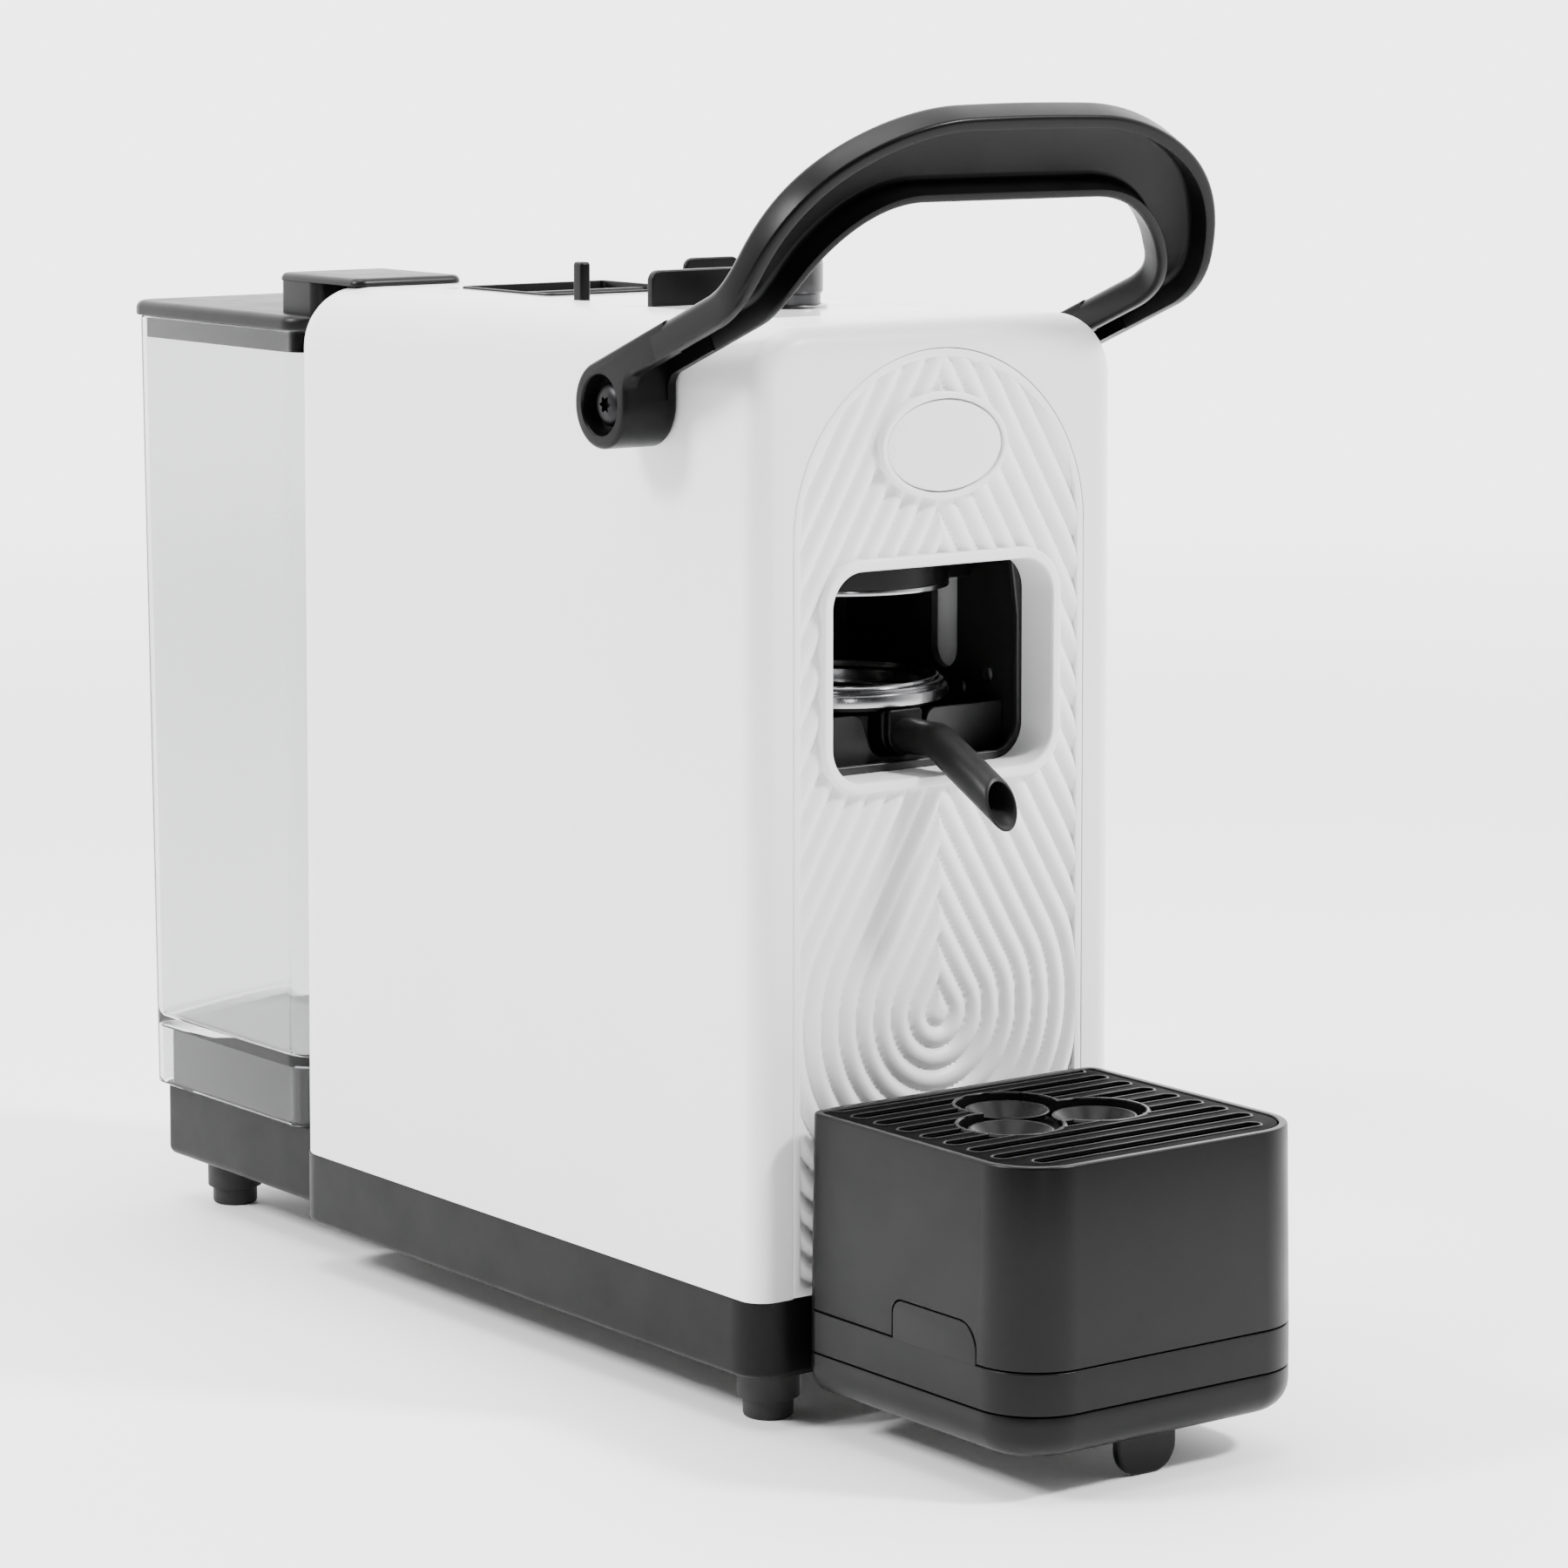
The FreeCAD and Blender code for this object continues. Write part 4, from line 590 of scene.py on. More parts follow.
def clear_plastic(name, colour, rough):
    """Clear tinted plastic with a faint flow unevenness."""
    material, nodes, links, bsdf = shader(name)
    cloud = noise(nodes, links, 15.0, 2.0)
    links.new(tint(nodes, links, cloud, [c * 0.985 for c in colour], colour), bsdf.inputs["Base Color"])
    links.new(spread(nodes, links, noise(nodes, links, 90.0, 4.0), rough, rough + 0.04),
              bsdf.inputs["Roughness"])
    bsdf.inputs["Transmission Weight"].default_value = 1.0
    bsdf.inputs["IOR"].default_value = 1.3
    grain(nodes, links, bsdf, noise(nodes, links, 30.0, 2.0), 0.04, 0.0004)
    return material


WHITE = plastic("white_shell", (0.83, 0.83, 0.835), 0.36, 3500.0, 0.05, 0.04, 0.008, coat=0.1)
WHITE_PANEL = plastic("white_panel", (0.84, 0.84, 0.84), 0.42, 3000.0, 0.08, 0.05, 0.01)
WHITE_GLOSS = plastic("white_gloss", (0.85, 0.85, 0.855), 0.14, 3500.0, 0.02, 0.03, 0.006, coat=0.4)
BASE_BLACK = black("black_base", 0.002, 0.42, 0.14, 2200.0, 0.25, 0.06, blue=1.03)
BLACK = black("black_satin", 0.002, 0.36, 0.15, 2600.0, 0.15, 0.06, blue=1.03)
# painted shade: the slotted plate gets a darker copy of the tower's black, so its ridges and cups stand out
# lighter against it
GRID_PAINTED_SHADE_BLACK = black("grid_painted_shade_black", 0.0008, 0.5, 0.01)
RIDGE_BLACK = black("ridge_black", 0.003, 0.3, 0.14)
# painted light: a lighter copy of the bracket black for the chamber sheet and low wall, which stand lit
# inside the window
FRAME_PAINTED_LIGHT_BLACK = black("frame_painted_light_black", 0.013, 0.36, 0.5)
# painted light: a lighter copy of the satin black for the spout, so its shaded bore reads lit
SPOUT_PAINTED_LIGHT_BLACK = black("spout_painted_light_black", 0.012, 0.4, 0.15)
DEEP_BLACK = black("bracket_black", 0.006, 0.5, 0.5, 1800.0, 0.2, 0.06, 0.15)
TOWER_BLACK = black("tower_black", 0.0025, 0.33, 0.15, drift=0.1, blue=1.032)
LEVER_BLACK = black("lever_black", 0.002, 0.32, 0.11, 2600.0, 0.15, drift=0.1, blue=1.03)
LID_GREY = black("lid_grey", 0.004, 0.38, 0.2, grain_strength=0.2, drift=0.08, blue=1.03)
RUBBER = black("foot_rubber", 0.014, 0.6, 0.3, 1500.0, 0.35, 0.08, 0.15)
NATURAL = plastic("bush_plastic", (0.55, 0.55, 0.52), 0.5, 2000.0, 0.1)
PUMP_WHITE = plastic("pump_plastic", (0.68, 0.67, 0.62), 0.5, 2000.0, 0.12)
SILICONE = plastic("hose_silicone", (0.7, 0.7, 0.66), 0.45, 1200.0, 0.1)
BOARD = plastic("board_green", (0.03, 0.16, 0.07), 0.35, 1500.0, 0.1)
CHROME = metal("chrome_trim", (0.36, 0.36, 0.37), 0.2, (1, 1, 1), 220.0, 0.0, 0.02)
STEEL = metal("sheet_steel", (0.45, 0.45, 0.46), 0.3, (1, 14, 14), 120.0, 0.15)
PIN_STEEL = metal("screen_steel", (0.6, 0.6, 0.6), 0.22, (20, 1, 1), 120.0, 0.1)
DARK_STEEL = metal("screw_steel", (0.02, 0.02, 0.021), 0.4, (1, 1, 1), 400.0, 0.1)
ALLOY = metal("cast_alloy", (0.5, 0.5, 0.5), 0.5, (1, 1, 1), 500.0, 0.5, 0.1)
BUTTON_GREY = metal("button_satin", (0.075, 0.075, 0.077), 0.34, (1, 1, 12), 150.0, 0.08)
CLEAR = clear_plastic("clear_tank", (0.7, 0.705, 0.71), 0.01)

# the look of each slot, for the CAD pieces that show as they are and for the pieces built below
SLOT_LOOKS = {
    "white_shell": WHITE, "white_panel": WHITE_PANEL, "white_gloss": WHITE_GLOSS, "black_base": BASE_BLACK,
    "black_satin": BLACK, "bracket_black": DEEP_BLACK, "tower_black": TOWER_BLACK,
    "lever_black": LEVER_BLACK, "lid_grey": LID_GREY, "foot_rubber": RUBBER, "bush_plastic": NATURAL,
    "pump_plastic": PUMP_WHITE, "hose_silicone": SILICONE, "seal_silicone": SILICONE,
    "board_green": BOARD, "chrome_trim": CHROME, "sheet_steel": STEEL, "screen_steel": PIN_STEEL,
    "screw_steel": DARK_STEEL, "cast_alloy": ALLOY, "button_satin": BUTTON_GREY, "clear_tank": CLEAR}
for part in frame["record"]["subparts"]:
    for holder in frame["nodes"][part["node"]].material_slots:
        holder.material = SLOT_LOOKS[part["material_slot"]]


# ---- casing and front panel
def hood(by):
    """The casing's form: softly rounded front, rear and top edges."""
    half, top = CASING_W - by, CASING_Z1 - by
    radius = CASING_TOP_R - by
    rings = []
    for y0, edge, way in ((0.0, CASING_FRONT_R - by, 1), (CASING_Y1, CASING_REAR_R - by, -1)):
        arc = []
        for k in range(HOOD_STEPS + 1):
            t = pi / 2 * k / HOOD_STEPS
            shrink = edge * (1 - sin(t))
            y = y0 + way * (by + edge * (1 - cos(t)))
            corners = [(-half + shrink, CASING_Z0, 0), (half - shrink, CASING_Z0, 0),
                       (half - shrink, top - shrink, radius - shrink),
                       (-half + shrink, top - shrink, radius - shrink)]
            arc.append([place(p.x, p.y, "XZ", y) for p in rounded(corners, 4.0)])
        rings += arc if way > 0 else list(reversed(arc))
    return loft(rings)


def arch(half, z0, z1):
    """Corners of a round-headed opening."""
    return [(-half, z0, 0), (half, z0, 0), (half, z1, half - 0.01), (-half, z1, half - 0.01)]


def window(grow):
    """The window's outline, grown by a distance."""
    return rect(-WINDOW_HALF - grow, WINDOW_HALF + grow, WINDOW_Z0 - grow, WINDOW_Z1 + grow, WINDOW_R + grow)


def build_casing():
    """The hollow shell, open for the panel, the top plate and the lever's shaft."""
    panel_hole = arch(PANEL_W + PANEL_GAP, CASING_Z0 - 5.0, PANEL_TOP + PANEL_GAP)
    half = INSERT_W + INSERT_GAP
    shell = carve(hood(0.0), hood(WALL))
    shell = carve(shell, prism(panel_hole, "XZ", -1.0, 6.0, 3.0),
                  block(-half, half, INSERT_Y[0] - INSERT_GAP, INSERT_Y[1] + INSERT_GAP,
                        CASING_Z1 - 6.0, CASING_Z1 + 2.0),
                  drum(SHAFT_HOLE_R, (0, GROUP_Y, PIVOT_Z), -90.0, 90.0, "X"))
    add("casing_hood", shell, "white_shell", ["casing_shell"], bevel=0.3)


def ripple(x, z):
    """Height of the drop pattern, 0 in a groove and 1 on a crest."""
    x, dz = abs(x), z - DROP_Z
    if dz > x * tan(CHEVRON):
        reach = x * cos(CHEVRON) + dz * sin(CHEVRON)
    else:
        reach = hypot(x, dz)
    return abs(sin(pi * (reach - RIPPLE_START) / RIPPLE_PITCH)) ** RIPPLE_SHARPNESS


def in_window(x, z):
    """Whether a point lies in the window or under its rim."""
    if abs(x) >= WINDOW_HALF + WINDOW_COVER:
        return False
    if not WINDOW_Z0 - WINDOW_COVER < z < WINDOW_Z1 + WINDOW_COVER:
        return False
    over_x = abs(x) - (WINDOW_HALF - WINDOW_R)
    over_z = max(WINDOW_Z0 + WINDOW_R - z, z - WINDOW_Z1 + WINDOW_R)
    return min(over_x, over_z) < 0 or hypot(over_x, over_z) < WINDOW_R + WINDOW_COVER


def ripple_field():
    """The panel's rippled skin under its arch, open where the window stands."""
    bm = bmesh.new()
    half = PANEL_W - PANEL_BORDER + PANEL_OVERLAP
    top = PANEL_TOP - PANEL_BORDER + PANEL_OVERLAP
    bottom = CASING_Z0 + PANEL_BORDER - PANEL_OVERLAP
    spring = top - half
    rows = []
    for i in range(FIELD_COLUMNS + 1):
        x = half * sin(pi * (i / FIELD_COLUMNS - 0.5))
        reach = spring + sqrt(max(0.0, half * half - x * x))
        row = []
        for k in range(FIELD_ROWS + 1):
            z = bottom + (reach - bottom) * k / FIELD_ROWS
            row.append(bm.verts.new((x, RIPPLE_DEPTH * (1 - ripple(x, z)) + RIPPLE_SUNK, z)))
        rows.append(row)
    faces = []
    for left, right in zip(rows, rows[1:]):
        for k in range(FIELD_ROWS):
            middle = (left[k].co + right[k + 1].co) / 2
            if not in_window(middle.x, middle.z):
                faces.append(bm.faces.new((left[k], right[k], right[k + 1], left[k + 1])))
    back = bmesh.ops.extrude_face_region(bm, geom=faces)
    for item in back["geom"]:
        if isinstance(item, bmesh.types.BMVert):
            item.co.y = PANEL_BACK
    loose = [v for v in bm.verts if not v.link_faces]
    bmesh.ops.delete(bm, geom=loose, context="VERTS")
    bmesh.ops.recalc_face_normals(bm, faces=bm.faces)
    return bm


def build_panel():
    """The bordered panel with its ripples."""
    frame_arch = arch(PANEL_W, CASING_Z0 + 0.2, PANEL_TOP)
    border = stack(frame_arch, "XZ", [(0.0, 0.3), (0.09, 0.09), (0.3, 0.0), (PANEL_BORDER - 0.3, 0.0),
                                      (PANEL_BORDER - 0.09, 0.09), (PANEL_BORDER, 0.3),
                                      (PANEL_BORDER, PANEL_BACK), (0.0, PANEL_BACK)], 3.0, closed=True)
    add("front_panel", join(border, ripple_field()), "white_panel", ["front_panel"], angle=50.0)


def build_badge():
    """The plain oval badge, with a groove inside its rim."""
    levels = [(0.0, 1.6), (0.0, -1.3), (0.1, -1.65), (0.35, -1.9), (0.7, -1.95), (1.3, -1.95), (1.6, -1.85),
              (1.75, -1.6), (1.8, 0.6), (2.2, 0.6), (2.25, -1.1), (2.35, -1.35), (2.7, -1.45),
              (9.0, -1.5), (13.5, -1.5)]
    rings = []
    for by, y in levels:
        across, up = BADGE_HALF_W - by, BADGE_HALF_H - by
        rings.append([Vector((across * cos(t), y, BADGE_Z + up * sin(t))) for t in turns(160)])
    add("oval_badge", loft(rings), "white_panel", ["oval_badge"])


def build_bezel():
    """The window's raised rim and the reveal behind it."""
    bezel = [(-3.2, 1.6), (-3.2, -0.9), (-3.1, -1.3), (-2.85, -1.6), (-2.4, -1.75), (-1.0, -1.75),
             (-0.45, -1.65), (-0.12, -1.3), (0.0, -0.8), (0.0, WINDOW_DEPTH - 0.2), (-0.2, WINDOW_DEPTH),
             (-1.9, WINDOW_DEPTH), (-1.9, 1.6)]
    add("window_bezel", stack(window(0.0), "XZ", bezel, 4.0, closed=True), "white_panel", ["window_bezel"])


# ---- brew group in the window
def build_group():
    """The slotted side plates, and the light walls of the casing beyond them."""
    x0, x1 = PLATE_X
    plates, linings = [], []
    for s in (-1, 1):
        plate = soft(rect(*PLATE_Y, CASING_Z0 + 2.0, PLATE_TOP, 3.0), "YZ", s * x0, s * x1)
        slot = prism(rect(GROUP_Y - SLOT_HALF, GROUP_Y + SLOT_HALF, *SLOT_Z, SLOT_HALF - 0.01),
                     "YZ", s * x0 - 2.0, s * x0 + 5.0)
        holes = [drum(PLATE_HOLE_R, (0, y, z), s * x0 - 4.0, s * x0 + 5.0, "X", steps=32)
                 for y, z in PLATE_HOLES]
        bearing = drum(BEARING_R, (0, GROUP_Y, PIVOT_Z), s * x0 - 5.0, s * x0 + 5.0, "X", steps=48)
        plates.append(carve(plate, slot, bearing, *holes))
        linings.append(soft(rect(*LINING_Y, *LINING_Z, 2.0), "YZ", s * LINING_X, s * (LINING_X + LINING_T),
                            0.3, 0.3))
    add("group_plates", join(*plates), "bracket_black", ["group_side_plates"], bevel=0.25)
    add("chamber_lining", join(*linings), "white_shell")


def build_chamber():
    """The black sheet behind the window's rim and the low wall behind it."""
    y0 = WINDOW_DEPTH + 0.2
    opening = mirrored([(36.6, 176.6, 8.0), (36.6, 214.0, 4.0), (33.6, 236.0, 2.0)])
    sheet = carve(prism(rect(-SHEET_X, SHEET_X, *SHEET_Z, 4.0), "XZ", y0, y0 + SHEET_T),
                  prism(opening, "XZ", y0 - 1.0, y0 + SHEET_T + 1.0))
    # the sheet and the low wall below take the lighter black, which is painted light
    add("chamber_frame", sheet, "bracket_black", ["chamber_frame"], look=FRAME_PAINTED_LIGHT_BLACK, bevel=0.55,
        segments=4)
    low, high = LOW_WALL_Z
    wall = mirrored([(LOW_WALL_X, low, 0), (LOW_WALL_X, high, 0), (12.2, high, 3.2), (9.0, 180.0, 3.0),
                     (7.6, 176.6, 6.0)])
    sill = block(-LOW_WALL_X, LOW_WALL_X, y0 + 1.0, LOW_WALL_Y[1], low, low + 3.0)
    low_wall = join(prism(wall, "XZ", *LOW_WALL_Y), sill)
    add("chamber_low_wall", low_wall, "bracket_black", look=FRAME_PAINTED_LIGHT_BLACK, bevel=0.3, segments=3)


def build_holder():
    """The pod holder with its stepped chrome ring, and the piston's face and head above it."""
    centre = (0, GROUP_Y, 0)
    lips = [(22.7, 191.0), (30.7, 191.0), (30.95, 191.1), (31.0, 191.4), (31.0, 193.7), (30.9, 194.0),
            (30.5, 194.15), (29.8, 194.2), (29.5, 194.35), (29.45, 194.6), (29.6, 194.85), (29.75, 195.2),
            (29.6, 195.6), (29.1, 195.85), (28.6, 195.95), (28.35, 196.15), (28.4, 196.45), (28.3, 196.8),
            (27.9, 197.0), (27.3, 197.0), (26.9, 196.85), (26.5, 196.3), (26.1, 195.6), (25.6, 195.2),
            (25.0, 195.0), (24.4, 194.7), (24.0, 193.9), (23.6, 192.9), (23.0, 192.0), (22.7, 191.4)]
    add("holder_ring", lathe(lips, centre, steps=160), "chrome_trim", ["holder_ring"])
    body = [(0.0, 176.2), (23.2, 176.2), (23.8, 176.8), (23.8, 186.0), (24.3, 188.0), (25.6, 189.0),
            (27.4, 189.3), (28.0, 189.7), (28.0, 190.9), (22.6, 190.9), (22.3, 189.4), (20.6, 187.8),
            (17.0, 187.0), (5.0, 186.4), (3.0, 185.6), (0.0, 185.4)]
    boss = mirrored([(5.9, 177.4, 5.7), (5.9, 190.3, 1.2)])
    neck = mirrored([(6.9, 176.7, 6.7), (6.9, 190.0, 1.0)])
    holder = join(lathe(body, centre, steps=128), soft(boss, "XZ", 15.5, 27.0, 0.7, 0.0),
                  soft(neck, "XZ", 17.4, 27.0, 0.8, 0.0), drum(20.0, centre, 170.5, 176.5))
    add("pod_holder", holder, "black_satin", ["pod_holder"])
    low, high = PISTON_Z
    face = [(31.0, 222.0), (31.1, 222.5), (31.0, low), (24.5, low), (24.5, 222.1), (25.2, 221.8),
            (29.2, 221.8), (29.8, 222.1), (30.4, 221.8)]
    add("piston_face", lathe(face, centre, steps=160), "chrome_trim", ["piston_ring"], body="piston")
    head = join(drum(PISTON_R, centre, low, high, edge=0.5, steps=128),
                soft(rect(-35.6, 35.6, 30.0, 80.0, 3.0), "XY", low, high, 0.6, 0.4))
    add("piston_head", head, "black_satin", ["piston_head"], body="piston")


def build_spout():
    """The bent spout with its slanted, open tip."""
    knee, tip = Vector(SPOUT_KNEE), Vector(SPOUT_TIP)
    slope = (tip - knee).normalized()
    path = [(15.4, SPOUT_Z), (4.0, SPOUT_Z)]
    for k in range(5):
        share = k / 4
        a = knee + Vector((SPOUT_BEND * (1 - share), 0.0))
        b = knee + slope * (SPOUT_BEND * share)
        path.append(tuple(a.lerp(b, share)))
    path.append(tuple(knee + slope * 12.0))
    path.append(tuple(tip - slope * 9.0))
    rings = tube_along(path, [SPOUT_R - 0.2] * 2 + [SPOUT_R - 0.1] * 5 + [SPOUT_R] * 2, SPOUT_STEPS)
    cut = Vector((0.0, -cos(SPOUT_CUT), sin(SPOUT_CUT)))
    way = Vector((0.0, slope.x, slope.y))
    up = Vector((1, 0, 0)).cross(way)
    middle = Vector((0.0, tip.x, tip.y))

    def slanted(radius, back):
        """A ring that follows the slanted cut, some way back from it."""
        points = []
        for t in turns(SPOUT_STEPS):
            side_way = Vector((1, 0, 0)) * cos(t) + up * sin(t)
            start = middle + side_way * radius
            run = (middle - start).dot(cut) / way.dot(cut)
            points.append(start + way * (run - back))
        return points
    lip = [(SPOUT_R, 0.9), (SPOUT_R - 0.06, 0.45), (SPOUT_R - 0.3, 0.12), (SPOUT_R - 0.65, 0.0),
           (SPOUT_BORE + 0.35, 0.05), (SPOUT_BORE + 0.08, 0.4), (SPOUT_BORE, 1.0), (SPOUT_BORE - 0.05, 9.0),
           (SPOUT_BORE - 0.2, 16.0)]
    rings += [slanted(radius, back) for radius, back in lip]
    # the spout takes the lighter black, which is painted light
    add("pouring_spout", loft(rings), "black_satin", ["spout"], look=SPOUT_PAINTED_LIGHT_BLACK, angle=60.0)


# ---- lever
def lever_surface(s, w):
    """A point of the handle's side view: s along its front face from the tip, w into it."""
    tip = Vector(LEVER_TIP)

    def along(angle):
        return Vector((-cos(angle), sin(angle)))

    def into(angle):
        return Vector((sin(angle), cos(angle)))
    if s > LEVER_STRAIGHT:
        angle, here = LEVER_SLOPE, tip + along(LEVER_SLOPE) * s
    else:
        knee = tip + along(LEVER_SLOPE) * LEVER_STRAIGHT
        centre = knee + into(LEVER_SLOPE) * LEVER_BEND_R
        if s > LEVER_KNEE_END:
            angle = LEVER_SLOPE - (LEVER_STRAIGHT - s) / LEVER_BEND_R
            here = centre - into(angle) * LEVER_BEND_R
        else:
            angle = LEVER_ARM_SLOPE
            here = centre - into(angle) * LEVER_BEND_R + along(angle) * (s - LEVER_KNEE_END)
    return here + into(angle) * w


def ease(value):
    """A smooth step from 0 to 1."""
    value = max(0.0, min(1.0, value))
    return value * value * (3 - 2 * value)


def lever_section(thick):
    """The channel section: (edge, distance from that edge, depth), edge 0 outer and 1 inner."""
    groove = thick - LEVER_T + LEVER_GROOVE
    points = [(0, LEVER_EDGE * (1 - sin(t)), thick - LEVER_EDGE * (1 - cos(t))) for t in QUARTER]
    front = [(0, LEVER_LIP * (1 - cos(t)), LEVER_LIP * (1 - sin(t))) for t in QUARTER]
    points += front

    def inside(rim):
        return [(rim - 0.6, 0.0), (rim - 0.15, 0.12), (rim, 0.5), (rim + 0.3, groove - 1.6),
                (rim + 0.8, groove - 0.5), (rim + 1.8, groove)]
    points += [(0, a, w) for a, w in inside(RIM_OUT)]
    points += [(1, a, w) for a, w in reversed(inside(RIM_IN))]
    points += [(1, a, w) for _, a, w in reversed(front)]
    points += [(1, a, w) for _, a, w in reversed(points[:len(QUARTER)])]
    return points


def lever_station(t):
    """Outer and inner edge of the handle's face round its corner, t from 0 to 90 degrees."""
    bulge = sin(2 * t) ** 2
    outer = Vector((LEVER_W - LOOP_R + LOOP_R * cos(t) + LOOP_FLARE * bulge, LOOP_R * (sin(t) - 1)))
    inner_x = LEVER_W - LEVER_ARM - LOOP_INNER_R + LOOP_INNER_R * cos(t) - LOOP_PINCH * bulge
    return outer, Vector((inner_x, LOOP_INNER_R * (sin(t) - 1) - LEVER_BAR))


def lever_band():
    """The bent channel, swept from one root over the bar to the other root."""
    half = []
    for k in range(ARM_STEPS):
        s = BAND_START + (-LOOP_R - BAND_START) * k / ARM_STEPS
        half.append((Vector((LEVER_W, s)), Vector((LEVER_W - LEVER_ARM, s))))
    for k in range(CORNER_STEPS + 1):
        half.append(lever_station(pi / 2 * k / CORNER_STEPS))
    for k in range(1, BAR_STEPS + 1):
        outer, inner = lever_station(pi / 2)
        share = 1 - k / BAR_STEPS
        half.append((Vector((outer.x * share, outer.y)), Vector((inner.x * share, inner.y))))
    for outer, _ in half:
        if outer.x < CROWN_HALF and outer.y > -LOOP_R:
            outer.y += LOOP_CROWN * (1 - (outer.x / CROWN_HALF) ** 2) ** 2

    def flip(station):
        outer, inner = station
        return Vector((-outer.x, outer.y)), Vector((-inner.x, inner.y))
    path = half + [flip(station) for station in reversed(half[:-1])]
    rings = []
    for outer, inner in path:
        way = (inner - outer).normalized()
        middle = (outer.y + inner.y) / 2
        section = lever_section(LEVER_T + LEVER_THICKER * ease((middle + LOOP_R) / THICKER_RUN))
        ring_points = []
        for edge, away, depth in section:
            flat = outer + way * away if edge == 0 else inner - way * away
            p = lever_surface(flat.y, depth)
            ring_points.append(Vector((flat.x, p.x, p.y)))
        rings.append(ring_points)
    return loft(rings)


def lever_root(s):
    """One eye with its heel and the start of the arm; s is the side, -1 or 1."""
    back, front = lever_surface(ROOT_END, LEVER_T - 0.02), lever_surface(ROOT_END, 0.02)
    arm = Vector((-cos(LEVER_ARM_SLOPE), sin(LEVER_ARM_SLOPE)))
    eye_r = LEVER_EYE - 0.02
    front_y, rear_y = GROUP_Y - eye_r, GROUP_Y + eye_r

    def on_line(start, y):
        return start + arm * ((y - start.x) / arm.x)
    bend, meet = on_line(back, rear_y), on_line(front, front_y)
    outline = [(front_y, PIVOT_Z - eye_r, eye_r - 0.01), (rear_y, PIVOT_Z - eye_r, eye_r - 0.01),
               (bend.x, bend.y, eye_r - 0.2), (*back, 0), (*front, 0), (meet.x, meet.y, HEEL_FILLET)]
    x0, x1 = sorted((s * (LEVER_W - LEVER_ARM + 0.02), s * (LEVER_W - 0.02)))
    root = soft(outline, "YZ", x0, x1, LEVER_LIP, LEVER_LIP, step_deg=4.0)
    floor_at = lever_surface(ROOT_END, LEVER_GROOVE)
    low, high = on_line(floor_at, front_y + 0.6), on_line(floor_at, front_y - 40.0)
    under = lever_surface(ROOT_END, -6.0)
    low_out, high_out = on_line(under, front_y + 0.6), on_line(under, front_y - 40.0)
    groove = [(*low, 0), (*high, 0), (*high_out, 0), (*low_out, 0)]
    g0, g1 = sorted((s * (LEVER_W - LEVER_ARM + RIM_IN + 0.4), s * (LEVER_W - RIM_OUT - 0.4)))
    deep = s * (LEVER_W - 5.0)
    bore = [(0, deep), (BORE_R, deep), (BORE_R, s * (LEVER_W - 0.7)),
            (BORE_R + 0.15, s * (LEVER_W - 0.3)), (BORE_R + 0.6, s * (LEVER_W + 0.1)),
            (BORE_R + 0.7, s * (LEVER_W + 2.0)), (0, s * (LEVER_W + 2.0))]
    return carve(root, prism(groove, "YZ", g0, g1), lathe(bore, (0, GROUP_Y, PIVOT_Z), "X", 128))


def build_lever():
    """The handle in one piece."""
    handle = join(lever_band(), lever_root(-1), lever_root(1))
    add("lever_handle", handle, "lever_black", ["lever_handle"], body="lever", angle=40.0)


def build_screws():
    """Domed screws with six-lobed sockets in both eyes of the lever."""
    head = [(2.4, 0.0, 66.0), (2.4, 0.0, 75.55), (6.0, 0.0, 75.55), (6.1, 0.0, 75.75), (6.0, 0.0, 76.4),
            (5.6, 0.0, 77.2), (4.9, 0.0, 77.9), (4.0, 0.0, 78.35), (3.2, 0.0, 78.55),
            (SOCKET_R + 0.15, SOCKET_LOBE, 78.68), (SOCKET_R, SOCKET_LOBE, 78.6),
            (SOCKET_R, SOCKET_LOBE, 77.0)]
    screws = []
    for s in (-1, 1):
        rings = []
        for middle, lobe, x in head:
            row = []
            for t in turns(96):
                radius = middle + lobe * cos(6 * t)
                row.append(Vector((s * x, GROUP_Y + radius * cos(t), PIVOT_Z + radius * sin(t))))
            rings.append(row)
        screws.append(loft(rings))
    add("pivot_screws", join(*screws), "screw_steel", ["pivot_screws"], body="lever")


# ---- base, feet and rear base
def build_base():
    """The base tray under the casing and the narrower base under the tank."""
    plinth = soft(rect(-CASING_W, CASING_W, 0.0, CASING_Y1, PLAN_R), "XY", BASE_Z0, CASING_Z0 - 0.1, 2.2, 0.3)
    add("base_plinth", plinth, "black_base", ["base_plinth"])
    half = REAR_W
    start = CASING_Y1 + 0.2
    lower = soft(rect(-half, half, start, REAR_Y1, 4.0), "XY", BASE_Z0, REAR_TOP, 3.0, 0.8)
    upper = soft(rect(-half + 1.0, half - 1.0, *PLATFORM_Y, 5.0), "XY", REAR_TOP - 0.2, PLATFORM_Z, 0.0, 0.8)
    room, gap = INLET_W + INLET_GAP, INLET_GAP
    inlet_room = block(-room, room, REAR_Y1 - 23.0, REAR_Y1 + 1.0, INLET_Z[0] - gap, INLET_Z[1] + gap, 1.0)
    well = drum(VALVE_R, (0, VALVE_Y, 0), PLATFORM_Z - 7.0, PLATFORM_Z + 1.0)
    add("rear_base", join(carve(lower, inlet_room), carve(upper, well)), "black_base", ["tank_base"])


